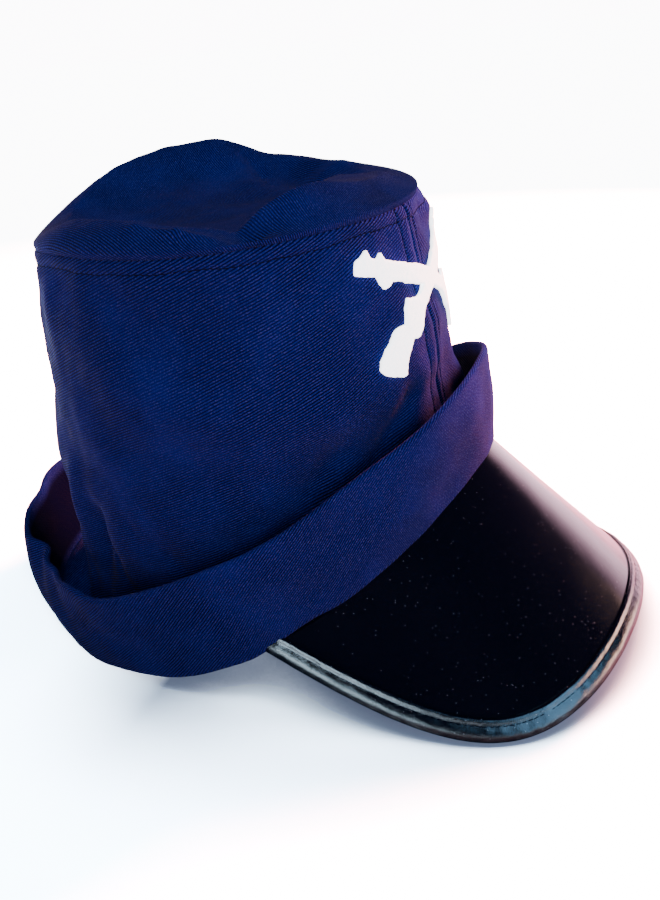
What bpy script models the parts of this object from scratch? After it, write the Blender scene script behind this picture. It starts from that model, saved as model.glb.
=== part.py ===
"""A soft cloth kepi: a tall slouching crown, a turned-up cuff, a glossy visor and a crossed-musket badge.

The cap stands as it rests on a table: on the visor's two corners and the rear sides of the cuff.
+Z is up, the visor points along -Y, and the wearer's right side is at -X.
Sizes are millimetres and angles are degrees; the meshes are written in metres.
An angle round the cap is 0 at the front, -90 at the wearer's right and 180 at the back.
"""

import math

import bmesh
import bpy
import numpy as np
from mathutils import Matrix, Vector

MM = 0.001
FULL_TURN = 360.0

# Clearance between neighbouring pieces, between the two crown halves at their seams,
# behind the badge's straight strips, and round the visor's edge and underside inside its binding.
GAP = 0.3
SEAM_GAP = 0.7
BADGE_GAP = 0.45
BINDING_GAP = 0.4

# The head oval at the cap's foot, and how far behind the part's origin its middle stands.
HEAD_HALF_LENGTH = 104.0
HEAD_HALF_WIDTH = 87.0
AXIS_BEHIND_ORIGIN = 25.0

# The round tip seam at the top of the crown.
TIP_RADIUS = 74.0
TIP_HEIGHT = 171.8
TIP_FORWARD = 1.0
TIP_SKIRT = 1.5
TIP_SINK = 5.0

# Thickness of each material.
CROWN_CLOTH = 1.4
CUFF_CLOTH = 2.6
VISOR_BOARD = 2.0
BINDING_TAPE = 0.8
BADGE_FELT = 1.6

# Height of the fold line at the cap's foot, which arches up over the brow.
FOOT_LINE_COLUMNS = ("angle", "height")
FOOT_LINE = (
    (-150, 3.0),
    (-120, -0.1),
    (-90, 6.0),
    (-60, 32.0),
    (-30, 62.0),
    (0, 75.4),
    (30, 63.2),
    (60, 34.4),
    (90, 9.0),
    (120, -0.1),
    (150, 3.2),
    (180, 6.6),
)

# The tip seam's height above or below a level ring.
TIP_SEAM_COLUMNS = ("angle", "lift")
TIP_SEAM = (
    (-175, -5.0),
    (-150, -8.0),
    (-115, -4.5),
    (-75, -3.5),
    (-30, -1.0),
    (30, 0.0),
    (90, 0.5),
    (150, 0.0),
)

# How far the crown's wall lies inside the straight line from foot to tip seam, by its rise up the wall.
CROWN_WALL_COLUMNS = ("rise", "front", "side", "back")
CROWN_WALL = (
    (0.00, 0.0, 0.0, 0.0),
    (0.02, 6.0, 6.0, 9.0),
    (0.06, 9.0, 8.0, 13.0),
    (0.14, 11.0, 9.0, 13.0),
    (0.25, 10.0, 7.5, 9.5),
    (0.40, 5.0, 4.5, 4.5),
    (0.70, 1.0, 1.0, 2.5),
    (1.00, 0.0, 0.0, 0.0),
)
CROWN_FOOT_LIFT = 2.2
FOLD_FADE = 0.08

# Dents (negative depth) and swells of the crown, each along a line from one angle and rise to another.
CROWN_FOLD_COLUMNS = ("from_angle", "from_rise", "to_angle", "to_rise", "width", "depth")
CROWN_FOLDS = (
    (-140, 0.08, -132, 0.40, 6.0, -3.0),
    (-130, 0.08, -124, 0.46, 5.0, 2.5),
    (-120, 0.06, -116, 0.36, 6.0, -3.5),
    (-104, 0.12, -92, 0.30, 8.0, -2.0),
    (-62, 0.20, -44, 0.34, 7.0, -1.8),
    (-30, 0.22, -18, 0.34, 6.0, -2.0),
    (-120, 0.85, -45, 0.48, 12.0, 2.0),
    (-95, 0.60, -35, 0.28, 12.0, -2.0),
    (26, 0.22, 52, 0.38, 15.0, 8.5),
    (18, 0.95, 44, 0.92, 9.0, 3.0),
    (40, 0.25, 75, 0.65, 12.0, -2.5),
    (95, 0.20, 125, 0.75, 14.0, -3.0),
    (150, 0.10, 140, 0.60, 9.0, -3.0),
    (170, 0.70, 120, 0.88, 12.0, 2.0),
)
CROWN_MEAN_RADIUS = 80.0
CROWN_MEAN_HEIGHT = 120.0

# Height of the puffed roll that the tip's cloth makes inside its seam.
TIP_ROLL_COLUMNS = ("angle", "height")
TIP_ROLL = (
    (-155, 2.5),
    (-122, 7.0),
    (-90, 10.0),
    (-68, 8.5),
    (-52, 2.0),
    (-25, 3.0),
    (5, 1.6),
    (50, 2.0),
    (92, 5.6),
    (108, 9.2),
    (124, 12.0),
    (145, 11.4),
    (165, 9.4),
)

# The tip's section from seam to middle: share of the radius, share of the roll's height, share of the sink.
TIP_SECTION_COLUMNS = ("row", "reach", "roll", "sink")
TIP_SECTION = (
    (0, 1.000, 0.00, 0.0),
    (1, 0.994, 0.22, 0.0),
    (2, 0.970, 0.48, 0.0),
    (3, 0.930, 0.74, 0.0),
    (4, 0.880, 0.94, 0.0),
    (5, 0.830, 1.00, 0.0),
    (6, 0.760, 0.84, 0.4),
    (7, 0.640, 0.46, 0.8),
    (8, 0.460, 0.18, 1.0),
    (9, 0.240, 0.04, 1.0),
    (10, 0.000, 0.00, 1.0),
)

# Swells and valleys of the tip's cloth, from one place to another, measured from its middle.
TIP_FOLD_COLUMNS = ("from_x", "from_y", "to_x", "to_y", "width", "depth")
TIP_FOLDS = (
    (-48, -42, 12, -44, 24.0, 8.5),
    (56, 36, 30, -10, 9.0, 5.0),
    (66, 14, 44, -14, 8.0, -3.0),
)
TIP_FOLD_FADE = 0.18

# The turned-up cuff: its height along the cloth and how far its top edge stands out.
CUFF_COLUMNS = ("angle", "height", "flare")
CUFF = (
    (-180, 43.0, -11.0),
    (-150, 43.0, -9.0),
    (-126, 41.5, -5.5),
    (-108, 37.5, -1.0),
    (-88, 40.5, 4.5),
    (-60, 39.5, 11.5),
    (-30, 39.5, 17.5),
    (0, 42.0, 18.5),
    (30, 43.0, 17.5),
    (60, 43.0, 11.5),
    (90, 43.0, 4.0),
    (120, 43.0, -4.0),
    (150, 43.0, -9.0),
)
CUFF_LEAN = 0.60
CUFF_BELLY = 0.8
CUFF_EDGE_ROUND = 0.9

# The visor: a sheet of straight rulings that leave the cap's foot forwards and down.
VISOR_HALF_ANGLE = 66.5
VISOR_LENGTH = 83.6
VISOR_END_LENGTH = 3.0
VISOR_SQUARENESS = 5.66
VISOR_DROP = 42.8
VISOR_CORNER_LIFT = 13.5
VISOR_FORWARD = 0.77
VISOR_BELOW_FOOT = 0.5
VISOR_TAB = 4.0
BINDING_WIDTH = 7.0
BINDING_END = 0.985

# The badge: two muskets crossed on the front seam. One musket's outline, by distance along its barrel.
MUSKET_COLUMNS = ("along", "upper", "lower")
MUSKET = (
    (-40.7, -0.8, -2.2),
    (-39.3, 0.9, -4.9),
    (-35.0, 1.7, -10.4),
    (-33.4, 2.0, -10.9),
    (-31.8, 2.4, -8.5),
    (-29.4, 3.1, -7.2),
    (-26.1, 2.0, -5.8),
    (-24.2, 0.5, -5.0),
    (-21.3, 4.9, -7.2),
    (-18.5, 6.3, -7.0),
    (-15.0, 3.1, -4.6),
    (-12.2, 2.0, -3.0),
    (-4.0, 2.8, -2.6),
    (10.0, 2.9, -3.1),
    (25.0, 2.2, -3.4),
    (26.6, 2.1, -5.2),
    (28.9, 2.2, -6.1),
    (30.8, 3.8, -4.9),
    (32.5, 1.9, -2.9),
    (35.2, 1.9, -3.1),
    (37.3, 4.0, -3.3),
    (39.5, 1.4, -3.5),
    (41.4, 0.4, -3.6),
)
MUSKET_TILT = 22.0
BADGE_RISE = 0.713
BADGE_FRONT_HEIGHT = 88.0
BADGE_DEGREE = 1.33
BADGE_STRIP = 5.0

# How many cells each sheet has, round it and along it.
CROWN_CELLS = (30, 16)
CROWN_CROWDING = 1.4
TIP_ROUND_CELLS = 44
CUFF_CELLS = (60, 5)
VISOR_CELLS = (36, 8)
TAB_STEP = -1.0
BINDING_CELLS = 60
JOIN_DISTANCE = 0.001
SHARP_ANGLE = 50.0

# Small steps that give the slope of a surface: along the visor's share, and round and up the crown.
SHARE_STEP = 0.001
CROWN_STEP = 0.01
BINDING_STEPS = 2

NAVY = (0.013, 0.022, 0.105)
BLACK = (0.006, 0.006, 0.010)
WHITE = (0.80, 0.83, 0.88)
TWILL_ROUGHNESS = 0.85
VISOR_ROUGHNESS = 0.12
BINDING_ROUGHNESS = 0.22
FELT_ROUGHNESS = 0.95


def column(rows, columns, name):
    """One named column of a table."""
    return np.array(rows, float)[:, columns.index(name)]


def smooth_table(rows, columns, name, at, period=0.0):
    """Reads one column of a table at any value of its first column, along a smooth curve through the rows."""
    knots = column(rows, columns, columns[0])
    values = column(rows, columns, name)
    if period:
        knots = np.concatenate((knots[-2:] - period, knots, knots[:2] + period))
        values = np.concatenate((values[-2:], values, values[:2]))
        at = (at - knots[2]) % period + knots[2]
    slopes = np.gradient(values, knots)
    index = np.clip(np.searchsorted(knots, at, side="right") - 1, 0, len(knots) - 2)
    step = knots[index + 1] - knots[index]
    part = (at - knots[index]) / step
    climb = values[index + 1] - values[index]
    start = slopes[index] * step
    end = slopes[index + 1] * step
    square_term = 3 * climb - 2 * start - end
    cube_term = start + end - 2 * climb
    return values[index] + part * (start + part * (square_term + part * cube_term))


def unit(vectors):
    """Vectors of length one."""
    return vectors / np.linalg.norm(vectors, axis=-1, keepdims=True)


def place(x, y, z):
    """Points with these coordinates, any of which may be a plain number."""
    return np.stack(np.broadcast_arrays(x, y, z), axis=-1).astype(float)


def fold_depth(places, start, end, fold):
    """The depth of one soft fold, which runs straight from start to end and has a bell-shaped section."""
    run = end - start
    share = np.clip((places - start) @ run / (run @ run), 0.0, 1.0)
    off = places - start - share[..., None] * run
    return fold["depth"] * np.exp(-(off**2).sum(axis=-1) / fold["width"] ** 2)


def outward(angle):
    """The level direction square to the head oval."""
    turn = np.radians(angle)
    return unit(place(np.sin(turn) / HEAD_HALF_WIDTH, -np.cos(turn) / HEAD_HALF_LENGTH, 0.0))


def foot_point(angle):
    """A point of the fold line at the cap's foot."""
    turn = np.radians(angle)
    height = smooth_table(FOOT_LINE, FOOT_LINE_COLUMNS, "height", angle, FULL_TURN)
    return place(HEAD_HALF_WIDTH * np.sin(turn), -HEAD_HALF_LENGTH * np.cos(turn), height)


def tip_ring_point(angle, reach):
    """A point of the tip seam, or inside it at this share of its radius."""
    turn = np.radians(angle)
    lift = smooth_table(TIP_SEAM, TIP_SEAM_COLUMNS, "lift", angle, FULL_TURN)
    x = TIP_RADIUS * reach * np.sin(turn)
    y = -TIP_FORWARD - TIP_RADIUS * reach * np.cos(turn)
    return place(x, y, TIP_HEIGHT + lift * reach)


def crown_folds(angle, rise):
    """The summed depth of the crown's dents and swells."""
    scale = np.array([math.radians(CROWN_MEAN_RADIUS), CROWN_MEAN_HEIGHT])
    places = np.stack((angle, rise), axis=-1) * scale
    depth = 0.0
    for row in CROWN_FOLDS:
        fold = dict(zip(CROWN_FOLD_COLUMNS, row))
        start = np.array([fold["from_angle"], fold["from_rise"]]) * scale
        end = np.array([fold["to_angle"], fold["to_rise"]]) * scale
        depth = depth + fold_depth(places, start, end, fold)
    return depth


def crown_point(angle, rise):
    """A point of the crown's outer face, from its foot (rise 0) to the tip seam (rise 1)."""
    foot = foot_point(angle) - outward(angle) * (CUFF_CLOTH + GAP) + place(0.0, 0.0, CROWN_FOOT_LIFT)
    straight = foot + (tip_ring_point(angle, 1.0) - foot) * rise[..., None]
    front_share = np.cos(np.radians(angle))
    side = smooth_table(CROWN_WALL, CROWN_WALL_COLUMNS, "side", rise)
    front = smooth_table(CROWN_WALL, CROWN_WALL_COLUMNS, "front", rise)
    back = smooth_table(CROWN_WALL, CROWN_WALL_COLUMNS, "back", rise)
    inset = side + (np.where(front_share > 0, front, back) - side) * front_share**2
    fade = np.clip(rise / FOLD_FADE, 0.0, 1.0) * np.clip((1.0 - rise) / FOLD_FADE, 0.0, 1.0)
    return straight + outward(angle) * (crown_folds(angle, rise) * fade - inset)[..., None]


def tip_folds(places):
    """The summed depth of the tip's swells and valleys, at places measured from its middle."""
    depth = 0.0
    for row in TIP_FOLDS:
        fold = dict(zip(TIP_FOLD_COLUMNS, row))
        start = np.array([fold["from_x"], fold["from_y"]])
        end = np.array([fold["to_x"], fold["to_y"]])
        depth = depth + fold_depth(places, start, end, fold)
    return depth


def tip_point(angle, row):
    """A point of the tip's upper face. Row -1 is the foot of its skirt, the last row its middle."""
    inner_row = np.clip(row, 0.0, None)
    reach = smooth_table(TIP_SECTION, TIP_SECTION_COLUMNS, "reach", inner_row)
    roll_share = smooth_table(TIP_SECTION, TIP_SECTION_COLUMNS, "roll", inner_row)
    sink_share = smooth_table(TIP_SECTION, TIP_SECTION_COLUMNS, "sink", inner_row)
    roll = smooth_table(TIP_ROLL, TIP_ROLL_COLUMNS, "height", angle, FULL_TURN)
    point = tip_ring_point(angle, reach)
    fade = np.clip((1.0 - reach) / TIP_FOLD_FADE, 0.0, 1.0)
    folds = tip_folds(point[..., :2] + np.array([0.0, TIP_FORWARD])) * fade
    skirt = TIP_SKIRT * np.clip(row + 1.0, 0.0, 1.0)
    height = GAP + skirt + roll * roll_share - TIP_SINK * sink_share + folds
    return point + place(0.0, 0.0, height)


def cuff_point(angle, share):
    """A point of the cuff's outer face, from its foot (share 0) to its top edge (share 1)."""
    up = unit(place(0.0, CUFF_LEAN, 1.0))
    height = smooth_table(CUFF, CUFF_COLUMNS, "height", angle, FULL_TURN) * share
    flare = smooth_table(CUFF, CUFF_COLUMNS, "flare", angle, FULL_TURN) * share
    belly = CUFF_BELLY * np.sin(np.pi * share)
    return foot_point(angle) + outward(angle) * (flare + belly)[..., None] + up * height[..., None]


def visor_direction(share):
    """The way that the visor's ruling runs at this share of its half angle."""
    level = unit(outward(share * VISOR_HALF_ANGLE) * (1 - VISOR_FORWARD) + place(0.0, -VISOR_FORWARD, 0.0))
    drop = np.radians(VISOR_DROP - VISOR_CORNER_LIFT * share**2)[..., None]
    return np.cos(drop) * level - np.sin(drop) * place(0.0, 0.0, 1.0)


def visor_length(share):
    """The length of the visor's ruling at this share of its half angle."""
    return VISOR_END_LENGTH + (VISOR_LENGTH - VISOR_END_LENGTH) * (1 - np.abs(share) ** VISOR_SQUARENESS)


def visor_point(share, reach):
    """A point of the visor's upper face, along a ruling from under the cuff's foot or, below 0, on its tab."""
    angle = share * VISOR_HALF_ANGLE
    tab = np.clip(reach, None, 0.0)[..., None]
    root = foot_point(angle) - outward(angle) * (CUFF_CLOTH / 2 - tab) - place(0.0, 0.0, VISOR_BELOW_FOOT)
    return root + visor_direction(share) * np.clip(reach, 0.0, None)[..., None]


def visor_slope(share, reach):
    """The change of the visor's point with its share, and the upward direction square to its face."""
    change = visor_point(share + SHARE_STEP, reach) - visor_point(share - SHARE_STEP, reach)
    change = change / (2 * SHARE_STEP)
    return change, unit(np.cross(visor_direction(share), change))


def binding_point(share, section):
    """A point of the binding's closed section, which wraps the visor's edge at this share."""
    inward, above = section
    reach = visor_length(share)
    after = visor_point(share + SHARE_STEP, visor_length(share + SHARE_STEP))
    before = visor_point(share - SHARE_STEP, visor_length(share - SHARE_STEP))
    edge_run = unit(after - before)
    for _ in range(BINDING_STEPS):
        change, square = visor_slope(share, reach)
        way = np.cross(square, edge_run) * (max(inward, 0.0) / BINDING_STEPS)
        axes = np.stack((change, visor_direction(share), square), axis=-1)
        moved = np.linalg.solve(axes, way[..., None])[..., 0]
        share = share + moved[..., 0]
        reach = reach + moved[..., 1]
    change, square = visor_slope(share, reach)
    beyond = np.cross(square, edge_run) * min(inward, 0.0)
    return visor_point(share, reach) + square * above + beyond


def paint(name, colour, roughness):
    """A plain material with this colour."""
    material = bpy.data.materials.new(name)
    material.use_nodes = True
    shader = material.node_tree.nodes["Principled BSDF"]
    shader.inputs["Base Color"].default_value = (*colour, 1.0)
    shader.inputs["Roughness"].default_value = roughness
    shader.inputs["Metallic"].default_value = 0.0
    return material


def add_object(name, shape, axis, material):
    """An object from a bmesh in millimetres, smooth but for its sharp edges, carried by the cap's axis."""
    bmesh.ops.scale(shape, vec=(MM, MM, MM), verts=shape.verts)
    mesh = bpy.data.meshes.new(name)
    shape.to_mesh(mesh)
    shape.free()
    mesh.materials.append(material)
    mesh.shade_smooth()
    mesh.set_sharp_from_angle(angle=math.radians(SHARP_ANGLE))
    item = bpy.data.objects.new(name, mesh)
    item.parent = axis
    bpy.context.scene.collection.objects.link(item)
    return item


def sheet(point_at, across, along, shape=None):
    """A sheet of cells whose corners are point_at(across, along); corners that meet are joined."""
    if shape is None:
        shape = bmesh.new()
    grid = bmesh.ops.create_grid(shape, x_segments=len(across) - 1, y_segments=len(along) - 1, size=1.0)
    corners = np.array([corner.co for corner in grid["verts"]])
    columns = np.rint((corners[:, 0] + 1) / 2 * (len(across) - 1)).astype(int)
    rows = np.rint((corners[:, 1] + 1) / 2 * (len(along) - 1)).astype(int)
    points = point_at(across[columns], along[rows])
    for corner, point in zip(grid["verts"], points):
        corner.co = point
    bmesh.ops.remove_doubles(shape, verts=grid["verts"], dist=JOIN_DISTANCE)
    return shape


def add_wall(name, shape, thickness, axis, material):
    """A sheet made solid, its thickness laid inwards."""
    item = add_object(name, shape, axis, material)
    wall = item.modifiers.new("wall", "SOLIDIFY")
    wall.thickness = thickness * MM
    wall.offset = -1.0
    wall.use_quality_normals = True
    return item


def add_crown_sides(axis):
    """The two halves of the crown's wall, which meet at the front and back seams."""
    seam = math.degrees(SEAM_GAP / 2 / CROWN_MEAN_RADIUS)
    columns, rows = CROWN_CELLS
    rises = np.linspace(0.0, 1.0, rows + 1) ** CROWN_CROWDING
    half_turn = FULL_TURN / 2
    spans = {"crown_side_right": (seam - half_turn, -seam), "crown_side_left": (seam, half_turn - seam)}
    for name, (first, last) in spans.items():
        shape = sheet(crown_point, np.linspace(first, last, columns + 1), rises)
        add_wall(name, shape, CROWN_CLOTH, axis, paint(f"{name}_twill", NAVY, TWILL_ROUGHNESS))


def add_crown_tip(axis):
    """The round cloth top, puffed inside its seam and sunken in the middle."""
    angles = np.linspace(0.0, FULL_TURN, TIP_ROUND_CELLS + 1)
    rows = np.arange(-1.0, len(TIP_SECTION))
    material = paint("crown_tip_twill", NAVY, TWILL_ROUGHNESS)
    add_wall("crown_tip", sheet(tip_point, angles, rows), CROWN_CLOTH, axis, material)


def add_cuff(axis):
    """The turned-up cuff of doubled cloth, with a folded foot and a folded top edge."""
    columns, rows = CUFF_CELLS
    angles = np.linspace(0.0, FULL_TURN, columns + 1)
    shares = np.linspace(0.0, 1.0, rows + 1)
    material = paint("cuff_twill", NAVY, TWILL_ROUGHNESS)
    cuff = add_wall("cuff", sheet(cuff_point, angles, shares), CUFF_CLOTH, axis, material)
    edge = cuff.modifiers.new("folded_edges", "BEVEL")
    edge.width = CUFF_EDGE_ROUND * MM
    edge.segments = 1
    edge.limit_method = "ANGLE"
    edge.angle_limit = math.radians(SHARP_ANGLE)


def add_visor(axis):
    """The stiff board of the visor."""
    columns, rows = VISOR_CELLS
    shares = -np.sin(np.linspace(-math.pi / 2, math.pi / 2, columns + 1))
    steps = np.linspace(0.0, 1.0, rows + 1)
    steps = np.concatenate(([TAB_STEP], steps))

    def point_at(share, step):
        reach = np.where(step < 0, -VISOR_TAB, step * visor_length(share))
        return visor_point(share, reach)

    shape = sheet(point_at, shares, steps)
    add_wall("visor", shape, VISOR_BOARD, axis, paint("visor_vinyl", BLACK, VISOR_ROUGHNESS))


def binding_section():
    """The binding's section as its outer and inner line, each point by how far inwards and above the face."""
    upper = GAP
    lower = -VISOR_BOARD - BINDING_GAP
    outer = (
        (BINDING_WIDTH, upper + BINDING_TAPE),
        (0.0, upper + BINDING_TAPE),
        (-BINDING_GAP - BINDING_TAPE, 0.0),
        (-BINDING_GAP - BINDING_TAPE, -VISOR_BOARD),
        (0.0, lower - BINDING_TAPE),
        (BINDING_WIDTH, lower - BINDING_TAPE),
    )
    inner = (
        (BINDING_WIDTH, upper),
        (-BINDING_GAP, upper),
        (-BINDING_GAP, 0.0),
        (-BINDING_GAP, -VISOR_BOARD),
        (-BINDING_GAP, lower),
        (BINDING_WIDTH, lower),
    )
    return outer, inner


def add_visor_binding(axis):
    """The tape folded over the visor's edge: an outer and an inner sheet, joined round their rims."""
    shares = np.sin(np.linspace(-math.pi / 2, math.pi / 2, BINDING_CELLS + 1)) * BINDING_END
    shape = bmesh.new()
    for line in binding_section():
        points = np.array([binding_point(shares, corner) for corner in line])
        turns = np.arange(len(line))
        stations = np.arange(len(shares))
        sheet(lambda turn, station, points=points: points[turn, station], turns, stations, shape)
    rims = [edge for edge in shape.edges if edge.is_boundary]
    bmesh.ops.bridge_loops(shape, edges=rims)
    bmesh.ops.recalc_face_normals(shape, faces=shape.faces)
    if shape.calc_volume(signed=True) < 0:
        bmesh.ops.reverse_faces(shape, faces=shape.faces)
    add_object("visor_binding", shape, axis, paint("binding_vinyl", BLACK, BINDING_ROUGHNESS))


def flat_musket(side):
    """One musket cut from flat felt, with its barrel rising towards this side."""
    along = column(MUSKET, MUSKET_COLUMNS, "along")
    upper = list(zip(along, column(MUSKET, MUSKET_COLUMNS, "upper")))
    lower = list(zip(along, column(MUSKET, MUSKET_COLUMNS, "lower")))
    shape = bmesh.new()
    corners = [shape.verts.new((*corner, 0.0)) for corner in upper + lower[::-1]]
    face = shape.faces.new(corners)
    raised = bmesh.ops.extrude_face_region(shape, geom=[face])
    lifted = [item for item in raised["geom"] if isinstance(item, bmesh.types.BMVert)]
    bmesh.ops.translate(shape, verts=lifted, vec=(0.0, 0.0, BADGE_FELT))
    bmesh.ops.rotate(shape, verts=shape.verts, matrix=Matrix.Rotation(math.radians(MUSKET_TILT), 3, "Z"))
    bmesh.ops.scale(shape, verts=shape.verts, vec=(side, 1.0, 1.0))
    bmesh.ops.recalc_face_normals(shape, faces=shape.faces)
    return shape


def crossed_muskets():
    """Both muskets as one flat piece of felt."""
    pieces = []
    for name, side in (("musket", 1.0), ("musket_crossing", -1.0)):
        shape = flat_musket(side)
        mesh = bpy.data.meshes.new(name)
        shape.to_mesh(mesh)
        shape.free()
        piece = bpy.data.objects.new(name, mesh)
        bpy.context.scene.collection.objects.link(piece)
        pieces.append(piece)
    joined = pieces[0].modifiers.new("crossing", "BOOLEAN")
    joined.operation = "UNION"
    joined.object = pieces[1]
    bpy.context.view_layer.update()
    shape = bmesh.new()
    shape.from_mesh(pieces[0].evaluated_get(bpy.context.evaluated_depsgraph_get()).to_mesh())
    for piece in pieces:
        bpy.data.objects.remove(piece, do_unlink=True)
    return shape


def add_badge(axis):
    """The felt badge, cut into strips so that it bends round the crown's front."""
    shape = crossed_muskets()
    half_width = max(abs(corner.co.x) for corner in shape.verts)
    cuts = int(half_width / BADGE_STRIP)
    for cut in range(-cuts, cuts + 1):
        everything = list(shape.verts) + list(shape.edges) + list(shape.faces)
        where = Vector((cut * BADGE_STRIP, 0.0, 0.0))
        bmesh.ops.bisect_plane(shape, geom=everything, plane_co=where, plane_no=(1, 0, 0), dist=JOIN_DISTANCE)
    bmesh.ops.triangulate(shape, faces=shape.faces)
    flat = np.array([corner.co for corner in shape.verts])
    angle = flat[:, 0] / BADGE_DEGREE
    rise = BADGE_RISE + flat[:, 1] / BADGE_FRONT_HEIGHT
    round_way = crown_point(angle + CROWN_STEP, rise) - crown_point(angle - CROWN_STEP, rise)
    up_way = crown_point(angle, rise + CROWN_STEP) - crown_point(angle, rise - CROWN_STEP)
    points = crown_point(angle, rise) + unit(np.cross(round_way, up_way)) * (BADGE_GAP + flat[:, 2:])
    for corner, point in zip(shape.verts, points):
        corner.co = point
    add_object("crossed_muskets_badge", shape, axis, paint("badge_felt", WHITE, FELT_ROUGHNESS))


def add_axis():
    """The empty on the crown's axis that carries every piece."""
    axis = bpy.data.objects.new("crown_axis", None)
    axis.location = (0.0, AXIS_BEHIND_ORIGIN * MM, 0.0)
    bpy.context.scene.collection.objects.link(axis)
    return axis


def main():
    """Builds the whole cap."""
    for item in list(bpy.data.objects):
        bpy.data.objects.remove(item, do_unlink=True)
    axis = add_axis()
    add_crown_sides(axis)
    add_crown_tip(axis)
    add_cuff(axis)
    add_visor(axis)
    add_visor_binding(axis)
    add_badge(axis)


main()
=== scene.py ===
"""Dresses the soft cloth kepi: navy twill, a glossy visor with a stitched binding, and a felt badge.

Each piece is a fine surface laid over one of the frame's solids, at the same place and size.
Shapes are worked out in millimetres about the crown's axis and written in metres.
An angle round the cap is 0 at the front, -90 at the wearer's right and 180 at the back.
"""

import math

import bmesh
import bpy
import numpy as np
from mathutils import Matrix, Vector


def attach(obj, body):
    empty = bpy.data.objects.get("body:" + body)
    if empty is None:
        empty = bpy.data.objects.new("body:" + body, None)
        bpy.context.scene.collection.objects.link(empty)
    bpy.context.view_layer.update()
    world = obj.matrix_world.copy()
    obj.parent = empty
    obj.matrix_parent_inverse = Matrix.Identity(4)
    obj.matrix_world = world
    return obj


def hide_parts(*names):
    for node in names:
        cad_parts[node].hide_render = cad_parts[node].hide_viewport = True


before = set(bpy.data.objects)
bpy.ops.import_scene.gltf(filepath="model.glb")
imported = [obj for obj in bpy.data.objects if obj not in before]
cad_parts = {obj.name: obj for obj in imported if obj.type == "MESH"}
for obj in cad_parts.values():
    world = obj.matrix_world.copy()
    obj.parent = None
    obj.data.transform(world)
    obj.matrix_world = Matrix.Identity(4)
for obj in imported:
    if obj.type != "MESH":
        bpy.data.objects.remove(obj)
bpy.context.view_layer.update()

bl_info = {
    "name": "Cloth Kepi",
    "version": (1, 0, 0),
    "blender": (4, 5, 0),
    "location": "3D View > Sidebar > Kepi",
    "description": "Makes a soft cloth kepi piece by piece, with its visor, badge, stitches and studio",
    "category": "Add Mesh",
}


def table(columns, *rows):
    """A table of numbers, kept as one array for each of its columns."""
    return dict(zip(columns.split(), np.array(rows, float).T))


MM = 0.001
WELD_REACH = 0.002
FULL_TURN = 360.0
CLOTH_MAP = "cloth"
BINDING_NAME = "visor_binding_tape"
TIP_NAME = "crown_tip_cloth"

# ---- The cap's own form, as the frame has it.

GAP = 0.3
HEAD_HALF_LENGTH = 104.0
HEAD_HALF_WIDTH = 87.0
AXIS_BEHIND_ORIGIN = 25.0
TIP_RADIUS = 74.0
TIP_HEIGHT = 171.8
TIP_FORWARD = 1.0
TIP_SKIRT = 1.5
TIP_SINK = 5.0
CROWN_CLOTH = 1.4
CUFF_CLOTH = 2.6
VISOR_BOARD = 2.0
BINDING_TAPE = 0.8
BINDING_GAP = 0.4
BADGE_FELT = 1.6
SLOPE_STEP = 0.01
SHARE_STEP = 0.001

# Height of the fold line at the cap's foot, which arches up over the brow.
FOOT_LINE = table(
    "angle height",
    (-150, 3.0), (-120, -0.1), (-90, 6.0), (-60, 32.0), (-30, 62.0), (0, 75.4), (30, 63.2),
    (60, 34.4), (90, 9.0), (120, -0.1), (150, 3.2), (180, 6.6),
)

# The tip seam's height above or below a level ring.
TIP_SEAM = table(
    "angle lift",
    (-175, -5.0), (-150, -8.0), (-115, -4.5), (-75, -3.5), (-30, -1.0), (30, 0.0), (90, 0.5),
    (150, 0.0),
)

# How far the crown's wall lies inside the straight line from foot to tip seam, by its rise up the wall.
CROWN_WALL = table(
    "rise front side back",
    (0.00, 0.0, 0.0, 0.0),
    (0.02, 6.0, 6.0, 9.0),
    (0.06, 9.0, 8.0, 13.0),
    (0.14, 11.0, 9.0, 13.0),
    (0.25, 10.0, 7.5, 9.5),
    (0.40, 5.0, 4.5, 4.5),
    (0.70, 1.0, 1.0, 2.5),
    (1.00, 0.0, 0.0, 0.0),
)
CROWN_FOOT_LIFT = 2.2
FOLD_FADE = 0.08

# Dents (negative depth) and swells of the crown, each along a line from one angle and rise to another.
CROWN_FOLDS = table(
    "from_angle from_rise to_angle to_rise width depth",
    (-140, 0.08, -132, 0.40, 6.0, -3.0),
    (-130, 0.08, -124, 0.46, 5.0, 2.5),
    (-120, 0.06, -116, 0.36, 6.0, -3.5),
    (-104, 0.12, -92, 0.30, 8.0, -2.0),
    (-62, 0.20, -44, 0.34, 7.0, -1.8),
    (-30, 0.22, -18, 0.34, 6.0, -2.0),
    (-120, 0.85, -45, 0.48, 12.0, 2.0),
    (-95, 0.60, -35, 0.28, 12.0, -2.0),
    (26, 0.22, 52, 0.38, 15.0, 8.5),
    (18, 0.95, 44, 0.92, 9.0, 3.0),
    (40, 0.25, 75, 0.65, 12.0, -2.5),
    (95, 0.20, 125, 0.75, 14.0, -3.0),
    (150, 0.10, 140, 0.60, 9.0, -3.0),
    (170, 0.70, 120, 0.88, 12.0, 2.0),
)
CROWN_MEAN_RADIUS = 80.0
CROWN_MEAN_HEIGHT = 120.0

# Height of the puffed roll that the tip's cloth makes inside its seam.
TIP_ROLL = table(
    "angle height",
    (-155, 3.2), (-122, 6.6), (-90, 7.4), (-68, 3.4), (-52, 0.6), (-25, 3.4), (5, 1.6), (50, 0.9),
    (92, 5.6), (108, 9.4), (124, 11.3), (145, 12.4), (165, 10.9),
)

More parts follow.
